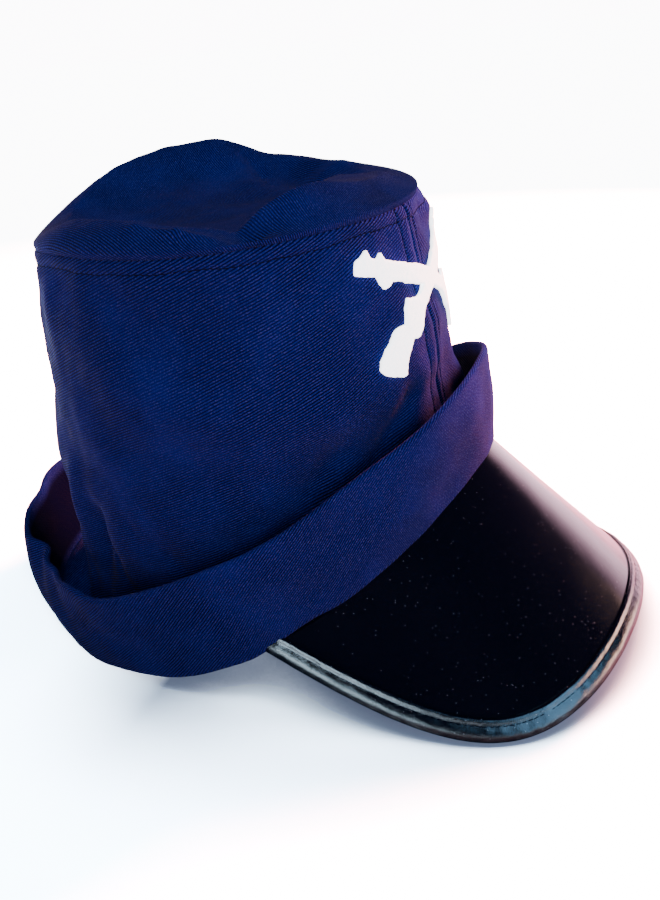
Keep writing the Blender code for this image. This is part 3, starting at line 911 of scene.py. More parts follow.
def visor_material(settings):
    """Glossy black vinyl over board: faint ripples, dust and fine rubs."""
    material, tree, shader = start_material("visor gloss vinyl", settings.gloss, specular_ior_level=0.5)
    solid = object_place(tree)
    specks = dust(tree, solid, size=2200.0, amount=0.012)
    patches = noise(tree, solid, scale=30.0, detail=5.0, roughness=0.6)
    smear = ramp(tree, patches, low=0.35, high=0.8, end=0.07)
    rubs = ramp(tree, noise(tree, solid, scale=420.0, detail=2.0), low=0.62, high=0.8, end=0.10)
    rough = reckon(tree, "ADD", settings.gloss, reckon(tree, "ADD", smear, rubs))
    ripple = relief(tree, noise(tree, solid, scale=26.0, detail=2.0), depth=0.0006)
    orange_peel = relief(tree, noise(tree, solid, scale=520.0, detail=2.0), depth=0.00001, onto=ripple)
    dusty = {"specks": specks, "colour": VISOR_DUST_COLOUR, "share": 0.35, "dulled": 0.5}
    gloss_vinyl(tree, shader, settings, rough, orange_peel, **dusty)
    return material


def binding_material(settings):
    """The binding's vinyl tape, drawn and wrinkled where it turns over the edge."""
    material, tree, shader = start_material("binding gloss vinyl", roughness=0.2, specular_ior_level=0.5)
    solid = object_place(tree)
    inputs = {"Vector": flat_place(tree), "Scale": WRINKLE_DRAW}
    drawn = add_node(tree, "ShaderNodeMapping", inputs).outputs[0]
    wrinkles = noise(tree, drawn, scale=2.2, detail=3.0, roughness=0.60)
    specks = dust(tree, solid, size=2200.0, amount=0.015)
    rough = ramp(tree, wrinkles, low=0.3, high=0.7, start=0.05, end=0.13)
    coarse = relief(tree, wrinkles, depth=0.00013)
    brushed = relief(tree, noise(tree, solid, scale=2000.0, detail=3.0), depth=0.00005, onto=coarse)
    dusty = {"specks": specks, "colour": BINDING_DUST_COLOUR, "share": 0.45, "dulled": 0.4}
    gloss_vinyl(tree, shader, settings, rough, brushed, **dusty)
    return material


def felt_material(settings):
    """White felt that glows a little as painted light: matted fibres, painted shade in the dips of its
    clumps, and a fuzzy cut edge.
    """
    material, tree, shader = start_material(
        "white felt",
        roughness=0.95,
        sheen_weight=0.5,
        sheen_roughness=0.6,
        specular_ior_level=0.15,
        # Painted light: the felt glows in its own white, brighter than its lamps light it.
        emission_color=rgba(settings.white),
        emission_strength=settings.badge_painted_glow,
    )
    solid = object_place(tree)
    clumps = noise(tree, solid, scale=340.0, detail=5.0, roughness=0.7)
    fibres = noise(tree, solid, scale=1500.0, detail=4.0, roughness=0.75)
    # Painted shade: the felt is darker where its clumps sink.
    painted_hollow_shade = scaled(settings.white, FELT_PAINTED_HOLLOW_SHADE)
    colour = blend_colours(tree, ramp(tree, clumps, low=0.3, high=0.7), painted_hollow_shade, settings.white)
    soft = relief(tree, clumps, depth=0.0005)
    feed(tree, shader, {"Base Color": colour, "Normal": relief(tree, fibres, depth=0.00022, onto=soft)})
    return material


# ---- Cloth pieces.


def seam_columns(length):
    """Distances from the front seam to the back one, closer together beside the seams."""
    near = np.arange(0.0, SEAM_BAND, SEAM_CELL)
    middle = np.arange(SEAM_BAND, length - SEAM_BAND, CLOTH_CELL)
    far = np.arange(length - SEAM_BAND, length, SEAM_CELL)
    return np.concatenate((near, middle, far, [length])) / length


def crown_rows():
    """Rises from the foot to the tip seam, closer together at the topstitching."""
    low = np.linspace(0.0, CROWN_TOP_RISE, CROWN_ROWS, endpoint=False)
    return np.concatenate((low, np.linspace(CROWN_TOP_RISE, 1.0, CROWN_TOP_ROWS)))


def crown_grid(side):
    """Angles and rises of one half of the crown, from the right edge of the grid's cloth to its left."""
    rise, share = np.meshgrid(crown_rows(), seam_columns(CROWN_HALF_RUN), indexing="ij")
    front = smooth_table(FRONT_SEAM, "angle", rise)
    angle = front + (side * FULL_TURN / 2 - front) * share
    if side < 0:
        angle, rise = angle[:, ::-1], rise[:, ::-1]
    return angle, rise


def topstitch_depth(angle):
    """How far below the tip seam the topstitching runs, which wanders a little."""
    turn = np.radians(angle)
    wander = sum(height * np.sin(count * turn + shift) for height, count, shift in TOPSTITCH_WAVES)
    return TOPSTITCH_BELOW_SEAM + TOPSTITCH_WANDER * wander


def below_seam(angle, rise):
    """How far below the tip seam a point of the crown lies."""
    return (1.0 - rise) * np.linalg.norm(tip_ring_point(angle, 1.0) - foot_point(angle), axis=-1)


def crown_surface(angle, rise, side):
    """The finished outer face of one half, and each point's place in the flat cloth."""
    base = crown_point(angle, rise, creased=True)
    steps = np.linalg.norm(np.diff(base[..., :2], axis=1), axis=-1)
    run = np.concatenate((np.zeros((len(base), 1)), np.cumsum(steps, axis=1)), axis=1)
    total = run[:, -1:]
    from_front = run if side > 0 else total - run
    from_back = total - from_front
    below = below_seam(angle, rise)
    front_row = FRONT_ROW_LEFT if side > 0 else FRONT_ROW_RIGHT
    rows = ((from_front, front_row), (from_back, BACK_ROW), (below, topstitch_depth(angle)))
    sunk = SEAM_DEPTH * (bump(from_front, SEAM_WIDTH) + bump(from_back, SEAM_WIDTH))
    for distance, row in rows:
        sunk = sunk + STITCH_ROW_DEPTH * bump(distance - row, STITCH_ROW_WIDTH)
        sunk = sunk - PUFF_HEIGHT * bump(distance - row / 2, PUFF_WIDTH)
    tuck = np.clip(1.0 - below / EDGE_TUCK_HEIGHT, 0.0, 1.0) ** 2
    sunk = sunk + EDGE_TUCK * tuck
    calm = np.clip(below / CALM_BELOW_SEAM, 0.0, 1.0)
    near_top = bump(below - EDGE_WAVES_AT, TOP_WAVES_WIDTH)
    near_edge = near_top + bump(from_front - EDGE_WAVES_AT, FRONT_WAVES_WIDTH)
    waves = uneven(base, CROWN_WAVES) + uneven(base, CROWN_EDGE_WAVES) * near_edge
    points = base + outward(angle) * (waves * calm - sunk)[..., None]
    in_fold = foot_point(angle) - outward(angle) * (CUFF_CLOTH / 2) + upward(CROWN_CLOTH + GAP)
    foot = np.clip(1.0 - rise / FOOT_RISE, 0.0, 1.0)[..., None]
    points = points + (in_fold - points) * foot
    flat = np.stack((from_front * side, base[..., 2]), axis=-1)
    return points, flat


def add_crown_half(name, side, material):
    """One half of the crown's wall."""
    angle, rise = crown_grid(side)
    points, flat = crown_surface(angle, rise, side)
    item = grid_piece(f"{name}_cloth", points, flat, material)
    add_wall(item, CROWN_CLOTH)
    return dress(item, name)


def tip_surface(angle, row):
    """The tip's finished face."""
    point = tip_point(angle, row, creased=True)
    middle = np.array([0.0, -TIP_FORWARD, 0.0])
    inwards = point - middle
    inwards[..., 2] = 0.0
    edge = bump(row + 1.0, TIP_EDGE_WIDTH)
    point = point - inwards * (TIP_EDGE_TUCK * edge)[..., None] - upward(TIP_EDGE_DROP * edge)
    reach = np.linalg.norm(inwards, axis=-1) / TIP_RADIUS
    calm = np.clip((1.0 - reach) * TIP_CALM, 0.0, 1.0)
    return point + upward(uneven(point, TIP_WAVES) * calm)


def add_tip_piece(material):
    """The round cloth top."""
    angles = np.linspace(0.0, FULL_TURN, TIP_COLUMNS + 1)
    edge_rows = np.linspace(-1.0, 1.0, TIP_EDGE_ROWS, endpoint=False)
    rows = np.concatenate((edge_rows, np.linspace(1.0, TIP_SECTION["row"][-1], TIP_ROWS)))
    row, angle = np.meshgrid(rows, angles, indexing="ij")
    points = tip_surface(angle, row)
    steps = np.linalg.norm(np.diff(points[::-1], axis=0), axis=-1).mean(axis=1)
    reach = running(steps)[::-1][:, None]
    turn = np.radians(angle)
    flat = np.stack((reach * np.sin(turn), -reach * np.cos(turn)), axis=-1)
    item = grid_piece(TIP_NAME, points, flat, material, round_columns=True)
    weld(item)
    add_wall(item, CROWN_CLOTH)
    return dress(item, "crown_tip")


def pinched_cuff_point(angle, share):
    """The cuff's outer face with its top edge pinched."""
    point = cuff_point(angle, share)
    grown = np.clip(share, 0.0, None) ** PINCH_GROWTH
    for middle, width, out in zip(*CUFF_SWELLS.values()):
        near = (bump(angle - middle, width) * np.sin(np.pi * share))[..., None]
        point = point + outward(angle) * out * near
    low = np.clip(1.0 - share, 0.0, 1.0) ** 2
    for middle, width, lift in zip(*CUFF_FEET.values()):
        point = point + upward(lift * bump(angle - middle, width) * low)
    for middle, width, inward, lift in zip(*CUFF_PINCHES.values()):
        near = (bump(angle - middle, width) * grown)[..., None]
        point = point - outward(angle) * inward * near + upward(lift) * near
    return point


def rest_on_floor(points):
    """The points with the lowest of them pressed flat on the floor."""
    height = points[..., 2]
    pressed = FLOOR_REST * np.exp(height / FLOOR_REST - 1.0)
    return place(points[..., 0], points[..., 1], np.where(height < FLOOR_REST, pressed, height))


def face_frame(surface, angle, height, angle_step):
    """Points of a surface, with the direction square to it and the way that it climbs."""
    round_way = surface(angle + angle_step, height) - surface(angle - angle_step, height)
    up_way = surface(angle, height + SLOPE_STEP) - surface(angle, height - SLOPE_STEP)
    return surface(angle, height), unit(np.cross(round_way, up_way)), unit(up_way)


def add_cuff_piece(material):
    """The turned-up cuff: one closed band with rounded folds at its top and foot."""
    angles = np.linspace(-FULL_TURN / 2, FULL_TURN / 2, CUFF_COLUMNS_FINE + 1)
    climb = np.linspace(0.0, 1.0, CUFF_ROWS_FINE)
    turns = np.linspace(0.0, math.pi, CUFF_FOLD_STEPS + 2)[1:-1]
    half = CUFF_CLOTH / 2
    level = np.ones(len(climb))
    still = np.zeros(len(turns))
    share = np.concatenate((climb, still + 1.0, climb[::-1], still, climb[:1]))
    lean = np.concatenate((level, np.cos(turns), -level, -np.cos(turns), [1.0]))
    lift = np.concatenate((level * 0.0, np.sin(turns), level * 0.0, -np.sin(turns), [0.0]))
    share, angle = np.meshgrid(share, angles, indexing="ij")
    face, square, up = face_frame(pinched_cuff_point, angle, share, CUFF_ANGLE_STEP)
    middle = face - square * half
    points = middle + square * half * lean[:, None, None] + up * half * lift[:, None, None]
    run = running(np.linalg.norm(np.diff(face[0], axis=0), axis=-1))
    over = running(np.linalg.norm(np.diff(points, axis=0), axis=-1).mean(axis=1))
    flat = np.stack(np.broadcast_arrays(run[None, :], over[:, None]), axis=-1)
    points = rest_on_floor(points + square * uneven(points, CUFF_WAVES)[..., None])
    item = grid_piece("cuff_cloth", points, flat, material, round_columns=True, round_rows=True)
    return dress(item, "cuff")


# ---- Visor, binding and badge.


def rim_shares(steps):
    """Shares of the visor's half angle from end to end, closer together at the ends."""
    return -np.sin(np.linspace(-math.pi / 2, math.pi / 2, steps + 1))


def add_visor_piece(material):
    """The visor's glossy board."""
    shares = rim_shares(VISOR_COLUMNS)
    tab_steps = np.linspace(-1.0, 0.0, VISOR_TAB_ROWS, endpoint=False)
    steps = np.concatenate((tab_steps, np.linspace(0.0, 1.0, VISOR_ROWS)))
    step, share = np.meshgrid(steps, shares, indexing="ij")
    reach = np.where(step < 0, step * VISOR_TAB, step * visor_length(share))
    points = visor_point(share, reach)
    flat = np.stack((share * VISOR_MAP_HALF_WIDTH, reach), axis=-1)
    item = grid_piece("visor_board", points, flat, material)
    weld(item)
    add_wall(item, VISOR_BOARD)
    return dress(item, "visor")


def binding_line():
    """The binding's section: how far in and above the visor's face, round its outside and back inside."""
    top = GAP + BINDING_TAPE
    under = -VISOR_BOARD - BINDING_GAP - BINDING_TAPE
    out = -BINDING_GAP - BINDING_TAPE
    outer = (
        (BINDING_WIDTH + 0.1, 0.05),
        (BINDING_WIDTH + 0.15, GAP + 0.3),
        (BINDING_WIDTH - 0.1, top),
        (BINDING_WIDTH - 0.6, top + 0.22),
        (BINDING_WIDTH - 1.1, top + 0.20),
        (BINDING_WIDTH - 1.8, top + 0.03),
        (BINDING_WIDTH - 2.3, top - 0.12),
        (BINDING_WIDTH - BINDING_GROOVE, top - 0.15),
        (BINDING_WIDTH - 3.4, top - 0.08),
        (2.4, top - 0.02),
        (1.5, top - 0.10),
        (0.8, top - 0.28),
        (0.1, top - 0.55),
        (-0.6, top - 0.95),
        (out + 0.1, 0.0),
        (out, -1.0),
        (out + 0.2, -2.0),
        (-0.4, under + 0.5),
        (0.6, under + 0.1),
        (2.5, under),
        (BINDING_WIDTH - 1.0, under),
        (BINDING_WIDTH, under + 0.3),
    )
    inner = (
        (BINDING_WIDTH, -VISOR_BOARD - BINDING_GAP),
        (-BINDING_GAP, -VISOR_BOARD - BINDING_GAP),
        (-BINDING_GAP, GAP),
    )
    return np.array(outer + inner + outer[:1])


def add_binding_piece(material):
    """The tape folded over the visor's edge, drawn into small wrinkles."""
    shares = rim_shares(BINDING_STATIONS) * BINDING_END
    line = binding_line()
    index, share = np.meshgrid(np.arange(len(line)), shares, indexing="ij")
    inward = line[index, 0]
    above = line[index, 1]
    points = binding_point(share, inward, above)
    first_row, last_row = BINDING_WRINKLED
    outer = (index > first_row) & (index < last_row)
    _, square = visor_slope(share, visor_length(share))
    points = points + square * (uneven(points, BINDING_WAVES) * outer)[..., None]
    first = points[:, :1] + unit((points[:, :1] - points[:, 1:2]).mean(axis=0)) * BINDING_TAIL
    last = points[:, -1:] + unit((points[:, -1:] - points[:, -2:-1]).mean(axis=0)) * BINDING_TAIL
    points = np.concatenate((first, points, last), axis=1)
    run = running(np.linalg.norm(np.diff(points[BINDING_MAP_ROW], axis=0), axis=-1))
    over = running(np.linalg.norm(np.diff(line, axis=0), axis=-1))
    flat = np.stack(np.broadcast_arrays(run[None, :], over[:, None]), axis=-1)
    item = grid_piece(BINDING_NAME, points, flat, material, round_rows=True)
    close_ends(item)
    return dress(item, "visor_binding")


def close_ends(item):
    """Closes a tube's two open ends and turns its faces outwards."""
    shape = bmesh.new()
    shape.from_mesh(item.data)
    rims = [edge for edge in shape.edges if edge.is_boundary]
    bmesh.ops.holes_fill(shape, edges=rims, sides=0)
    bmesh.ops.recalc_face_normals(shape, faces=shape.faces)
    if shape.calc_volume(signed=True) < 0:
        bmesh.ops.reverse_faces(shape, faces=shape.faces)
    write_shape(shape, item.data)


def flat_musket(side):
    """One musket cut from flat felt, with its barrel rising towards this side."""
    upper = list(zip(MUSKET["along"], MUSKET["upper"]))
    lower = list(zip(MUSKET["along"], MUSKET["lower"]))
    shape = bmesh.new()
    corners = [shape.verts.new((*corner, 0.0)) for corner in upper + lower[::-1]]
    face = shape.faces.new(corners)
    raised = bmesh.ops.extrude_face_region(shape, geom=[face])
    lifted = [item for item in raised["geom"] if isinstance(item, bmesh.types.BMVert)]
    bmesh.ops.translate(shape, verts=lifted, vec=(0.0, 0.0, BADGE_FELT))
    bmesh.ops.rotate(shape, verts=shape.verts, matrix=Matrix.Rotation(math.radians(MUSKET_TILT), 3, "Z"))
    bmesh.ops.scale(shape, verts=shape.verts, vec=(side, 1.0, 1.0))
    bmesh.ops.recalc_face_normals(shape, faces=shape.faces)
    return add_object("musket", write_shape(shape, bpy.data.meshes.new("musket")))


def plain_mesh(item):
    """An object's finished shape as a plain mesh."""
    bpy.context.view_layer.update()
    return bpy.data.meshes.new_from_object(item.evaluated_get(bpy.context.evaluated_depsgraph_get()))


def mesh_numbers(mesh, name):
    """One vector for each of a mesh's corners."""
    numbers = np.empty(len(mesh.vertices) * 3)
    mesh.vertices.foreach_get(name, numbers)
    return numbers.reshape(-1, 3)


def crossed_muskets():
    """Both muskets as one flat piece of felt, evenly meshed with softened edges."""
    first, second = flat_musket(1.0), flat_musket(-1.0)
    joined = first.modifiers.new("crossing", "BOOLEAN")
    joined.operation = "UNION"
    joined.object = second
    felted = first.modifiers.new("felted", "REMESH")
    felted.mode = "VOXEL"
    felted.voxel_size = FELT_CELL
    eased = first.modifiers.new("eased", "SMOOTH")
    eased.factor = FELT_EASING
    eased.iterations = FELT_EASING_STEPS
    mesh = plain_mesh(first)
    for item in (first, second):
        bpy.data.objects.remove(item, do_unlink=True)
    return mesh


def add_badge_piece(material):
    """The felt badge, bent round the crown's front, with an unevenly cut edge."""
    mesh = crossed_muskets()
    flat = mesh_numbers(mesh, "co")
    ragged = uneven(flat * np.array(BADGE_WAVE_SCALE), BADGE_WAVES) + BADGE_FULLNESS
    flat = flat + mesh_numbers(mesh, "normal") * ragged[:, None] * np.array(BADGE_RAGGED_SCALE)
    angle = flat[:, 0] / BADGE_DEGREE
    rise = BADGE_RISE + flat[:, 1] / BADGE_FRONT_HEIGHT
    face, square, _ = face_frame(crown_point, angle, rise, SLOPE_STEP)
    points = face + square * (BADGE_REST + flat[:, 2:])
    mesh.vertices.foreach_set("co", to_world(points).astype(np.float32).ravel())
    mesh.update()
    mesh.shade_smooth()
    mesh.materials.clear()
    mesh.materials.append(material)
    item = add_object("badge_felt", mesh)
    return dress(item, "crossed_muskets_badge")


# ---- Stitches.


def stitch_tree(material):
    """Geometry nodes that lay one small thread along each step of a path."""
    tree = bpy.data.node_groups.new("stitch row", "GeometryNodeTree")
    given, result = name_sockets(
        tree,
        [
            ("Path", "Geometry", None),
            ("Pitch", "Float", 0.0028),
            ("Length", "Float", 0.0022),
            ("Thickness", "Float", 0.0003),
            ("Wander", "Float", 0.12),
            ("Seed", "Int", 3),
        ],
        [("Stitches", "Geometry")],
    )

    def step(kind, inputs, **settings):
        return add_node(tree, kind, inputs, **settings).outputs[0]

    curve = step("GeometryNodeMeshToCurve", {"Mesh": given["Path"]})
    points = step("GeometryNodeResampleCurve", {"Curve": curve, "Length": given["Pitch"]}, mode="LENGTH")
    wander = given["Wander"]
    minus = times(tree, wander, -1.0)
    low = step("ShaderNodeCombineXYZ", {0: minus, 1: minus, 2: minus})
    high = step("ShaderNodeCombineXYZ", {0: wander, 1: wander, 2: wander})
    shake = step(
        "FunctionNodeRandomValue", {0: low, 1: high, "Seed": given["Seed"]}, data_type="FLOAT_VECTOR"
    )
    tangent = step("GeometryNodeInputTangent", {})
    way = step("ShaderNodeVectorMath", {0: tangent, 1: shake}, operation="ADD")
    turn = step("FunctionNodeAlignRotationToVector", {"Vector": way}, axis="Z")
    thick = given["Thickness"]
    size = step("ShaderNodeCombineXYZ", {0: thick, 1: thick, 2: times(tree, given["Length"], 0.5)})
    thread = step("GeometryNodeMeshUVSphere", {"Segments": 8, "Rings": 5, "Radius": 1.0})
    shaped = step("GeometryNodeTransform", {"Geometry": thread, "Scale": size})
    rows = step("GeometryNodeInstanceOnPoints", {"Points": points, "Instance": shaped, "Rotation": turn})
    real = step("GeometryNodeRealizeInstances", {"Geometry": rows})
    smooth = step("GeometryNodeSetShadeSmooth", {"Geometry": real})
    finish = step("GeometryNodeSetMaterial", {"Geometry": smooth, "Material": material})
    feed(tree, result, {"Stitches": finish})
    return tree


def add_stitches(name, paths, tree, values):
    """Lays stitches along each path, and keeps them as one plain mesh."""
    mesh = bpy.data.meshes.new(name)
    edges = []
    start = 0
    for path in paths:
        edges += [(number, number + 1) for number in range(start, start + len(path) - 1)]
        start += len(path)
    mesh.from_pydata(to_world(np.concatenate(paths)).tolist(), edges, [])
    rails = add_object(f"{name}_path", mesh)
    rows = rails.modifiers.new("stitches", "NODES")
    rows.node_group = tree
    for item in tree.interface.items_tree:
        if item.item_type == "SOCKET" and item.name in values:
            rows[item.identifier] = values[item.name]
    plain = plain_mesh(rails)
    plain.name = name
    bpy.data.objects.remove(rails, do_unlink=True)
    return dress(add_object(name, plain))


def crossings(points, distance, level):
    """Where each row of a grid reaches its level of distance, read between its columns."""
    path = []
    for line, values, goal in zip(points, distance, np.broadcast_to(level, len(points))):
        order = np.argsort(values)
        path.append([np.interp(goal, values[order], line[order, part]) for part in range(3)])
    return np.array(path)


def topstitch_path(side):
    """The path of the topstitching over one half of the finished crown."""
    angle, rise = crown_grid(side)
    points, _ = crown_surface(angle, rise, side)
    return crossings(points.swapaxes(0, 1), below_seam(angle, rise).T, topstitch_depth(angle[-1]))


def seam_row_path(side, from_seam, back=False):
    """The path of a stitch row beside the front or the back seam of the finished crown."""
    angle, rise = crown_grid(side)
    points, flat = crown_surface(angle, rise, side)
    distance = np.abs(flat[..., 0])
    if back:
        distance = distance.max(axis=1, keepdims=True) - distance
    return crossings(points, distance, from_seam)


def binding_stitch_path():
    """The seam line on the binding."""
    shares = rim_shares(BINDING_STATIONS) * BINDING_END * BINDING_STITCHED
    inward = np.full(len(shares), BINDING_WIDTH - BINDING_GROOVE)
    above = np.full(len(shares), GAP + BINDING_TAPE - BINDING_STITCH_SINK)
    return binding_point(shares, inward, above)


# ---- Studio.

CAMERA_PLACE = (-0.30803, -0.16012, 0.23406)
CAMERA_RIGHT = (0.3987, -0.91343, -0.08183)
CAMERA_UP = (0.43, 0.10738, 0.89642)
CAMERA_BACK = (-0.81003, -0.39259, 0.43558)
CAMERA_LENS = 36.0
CAMERA_SENSOR = 36.0


def add_camera():
    """The camera, at the portrait's place."""
    data = bpy.data.cameras.new("portrait_camera")
    data.lens = CAMERA_LENS
    data.sensor_width = CAMERA_SENSOR
    data.clip_start = 0.01
    data.clip_end = 50.0
    item = add_object("portrait_camera", data)
    columns = zip(CAMERA_RIGHT, CAMERA_UP, CAMERA_BACK)
    turn = Matrix([list(row) for row in columns]).to_4x4()
    item.matrix_world = Matrix.Translation(CAMERA_PLACE) @ turn
    bpy.context.scene.camera = item


LAMP_AIM = (0.0, 0.0, 0.09)
# The level direction, beyond the visor, from which the room looks rose.
ROSE_WAY = (0.87, -0.5, 0.0)
ROSE_FLOOR = (0.04, 0.16)
ROSE_WALL = (0.60, 0.95)
# The mirrored walls' colours, by their direction round the cap.
ROOM_WALLS = (
    (-180.0, "dark"),
    (-83.0, "dark"),
    (-77.0, "copper"),
    (-54.0, "copper"),
    (-44.0, "rose"),
    (50.0, "rose"),
    (90.0, "dark"),
)
SOFT_EDGE_START = 0.02
WALL_EDGE = 0.06
# The painted shadow under the cap: how open the floor is at its ends, how fast it falls, and where and how
# far it is painted away behind the cap.
CONTACT_RANGE = (0.45, 0.93)
CONTACT_FALL = 3.0
CONTACT_SAMPLES = 32
LIT_BEHIND = (0.03, 0.085)
LIT_BEHIND_SHARE = 0.8
FLOOR_SEGMENTS = 96
SEEN_GLOW_SPREAD = 2.6
MIRRORED_GLOW_SPREAD = 1.6
# Each lamp's name, distance, direction round and up, width and height, power, colour, and its part: the lit
# lamps light the cloth and the floor and leave the gloss alone, the low one of them passes by the tip, and
# the glint lamps only give the binding its glints.
LAMPS = (
    ("overhead_softbox", 1.5, -172.0, 70.0, (0.9, 0.9), 5.0, (0.33, 0.76, 1.0), "lit"),
    ("far_softbox", 1.6, 80.0, 62.0, (0.8, 0.5), 5.0, (0.42, 0.70, 1.0), "lit"),
    ("side_softbox", 1.6, -143.0, 24.0, (0.7, 0.5), 17.0, (0.72, 0.85, 1.0), "lit"),
    ("key_softbox", 1.5, -86.0, 26.0, (0.6, 0.4), 5.0, (0.85, 0.82, 0.95), "lit"),
    ("rose_softbox", 1.3, -22.0, 23.0, (0.5, 0.35), 215.0, (1.0, 0.32, 0.25), "low"),
    ("near_lamp", 1.2, 166.0, 5.0, (0.72, 0.25), 17.0, (0.58, 0.82, 1.0), "glint"),
    ("blue_softbox", 1.2, -114.0, 24.0, (0.64, 1.10), 24.0, (0.28, 0.62, 1.0), "glint"),
)


def add_lamp(name, distance, azimuth, elevation, size, power, colour, part):
    """A soft rectangular lamp, which looks at the cap from this direction."""
    data = bpy.data.lights.new(name, "AREA")
    data.shape = "RECTANGLE"
    data.size, data.size_y = size
    data.energy = power
    data.color = colour
    item = add_object(name, data)
    turn, tilt = math.radians(azimuth), math.radians(elevation)
    level = math.cos(tilt)
    way = Vector((math.cos(turn) * level, math.sin(turn) * level, math.sin(tilt)))
    item.location = Vector(LAMP_AIM) + way * distance
    item.rotation_euler = (-way).to_track_quat("-Z", "Y").to_euler()
    item.visible_glossy = part == "glint"
    item.visible_diffuse = part != "glint"
    if part != "lit":
        piece, state = (BINDING_NAME, "INCLUDE") if part == "glint" else (TIP_NAME, "EXCLUDE")
        linked = bpy.data.collections.new(f"{name}_links")
        linked.objects.link(bpy.data.objects[piece])
        linked.collection_objects[0].light_linking.link_state = state
        item.light_linking.receiver_collection = linked


def towards_rose(tree, way):
    """How far a place or direction lies towards the rose side of the room."""
    inputs = {0: way, 1: ROSE_WAY}
    return add_node(tree, "ShaderNodeVectorMath", inputs, operation="DOT_PRODUCT").outputs["Value"]


def painted_contact_shade(tree, settings):
    """The floor's painted shadow, by how open it is to the light: less beside the cap, and painted away
    behind it.
    """
    inputs = {"Distance": settings.contact_reach}
    shaded = add_node(tree, "ShaderNodeAmbientOcclusion", inputs, samples=CONTACT_SAMPLES).outputs["AO"]
    # Painted shadow: the floor's colour darkens where ambient occlusion finds the cap close by.
    open_share = reckon(tree, "POWER", ramp(tree, shaded, *CONTACT_RANGE), CONTACT_FALL)
    depth = add_node(tree, "ShaderNodeSeparateXYZ", {0: object_place(tree)}).outputs[1]
    behind = times(tree, ramp(tree, depth, *LIT_BEHIND), LIT_BEHIND_SHARE)
    return reckon(tree, "MULTIPLY_ADD", behind, reckon(tree, "SUBTRACT", 1.0, open_share), open_share)


def floor_material(settings):
    """Pale paint with a painted shadow under the cap, that fades into the room's glow; camera, gloss and
    cloth each see their own floor.
    """
    material = bpy.data.materials.new("studio floor paint")
    material.use_nodes = True
    tree = material.node_tree
    tree.nodes.clear()
    path = add_node(tree, "ShaderNodeLightPath").outputs
    seen, mirrored = path["Is Camera Ray"], path["Is Glossy Ray"]
    where = object_place(tree)
    rose_share = ramp(tree, towards_rose(tree, where), *ROSE_FLOOR)
    rose = scaled(settings.rose_room, settings.rose_floor_gain)
    in_gloss = blend_colours(tree, rose_share, settings.floor_mirrored, rose)
    unseen = blend_colours(tree, mirrored, settings.floor_bounce, in_gloss)
    bright = scaled(settings.floor_colour, settings.floor_gain)
    shaded = blend_colours(tree, painted_contact_shade(tree, settings), settings.contact_shadow_colour, bright)
    paint = {"Color": blend_colours(tree, seen, unseen, shaded), "Roughness": 1.0}
    near = scaled(settings.near_room, settings.near_glow)
    far = scaled(settings.rose_room, settings.rose_glow)
    glow = blend_colours(
        tree,
        mirrored,
        scaled(settings.floor_colour, settings.room_glow),
        blend_colours(tree, rose_share, near, far),
    )
    away = add_node(tree, "ShaderNodeVectorMath", {0: where}, operation="LENGTH").outputs["Value"]
    shares = []
    for start, spread in (
        (settings.glow_start, SEEN_GLOW_SPREAD),
        (settings.mirrored_glow_start, MIRRORED_GLOW_SPREAD),
    ):
        shares.append(ramp(tree, away, start, start * spread))
    share = reckon(tree, "MULTIPLY_ADD", shares[1], mirrored, times(tree, shares[0], seen))
    mixed = add_node(
        tree,
        "ShaderNodeMixShader",
        {
            0: share,
            1: add_node(tree, "ShaderNodeBsdfDiffuse", paint).outputs[0],
            2: add_node(tree, "ShaderNodeEmission", {"Color": glow, "Strength": 1.0}).outputs[0],
        },
    )
    add_node(tree, "ShaderNodeOutputMaterial", {"Surface": mixed.outputs[0]})
    return material


def add_floor(settings):
    """The pale studio floor, overexposed as in the portrait."""
    shape = bmesh.new()
    bmesh.ops.create_circle(shape, cap_ends=True, segments=FLOOR_SEGMENTS, radius=settings.floor_radius)
    mesh = write_shape(shape, bpy.data.meshes.new("studio_floor"))
    mesh.materials.append(floor_material(settings))
    floor = add_object("studio_floor", mesh)
    return floor


def room_sides(tree, way, settings):
    """The room's walls as gloss mirrors them, by their direction round the cap."""
    colours = {
        "copper": scaled(settings.copper_room, settings.copper_glow),
        "rose": scaled(settings.rose_room, settings.rose_glow),
        "dark": tuple(settings.ceiling_colour),
    }
    parts = add_node(tree, "ShaderNodeSeparateXYZ", {0: way}).outputs
    azimuth = reckon(tree, "ARCTAN2", parts[1], parts[0])
    turn = reckon(tree, "MULTIPLY_ADD", azimuth, 1 / (2 * math.pi), 0.5)
    wheel = add_node(tree, "ShaderNodeValToRGB", {"Fac": turn})
    elements = wheel.color_ramp.elements
    elements.remove(elements[-1])
    for number, (angle, colour) in enumerate(ROOM_WALLS):
        place_on_wheel = angle / FULL_TURN + 0.5
        element = elements[0] if number == 0 else elements.new(place_on_wheel)
        element.position = place_on_wheel
        element.color = rgba(colours[colour])
    return wheel.outputs["Color"]


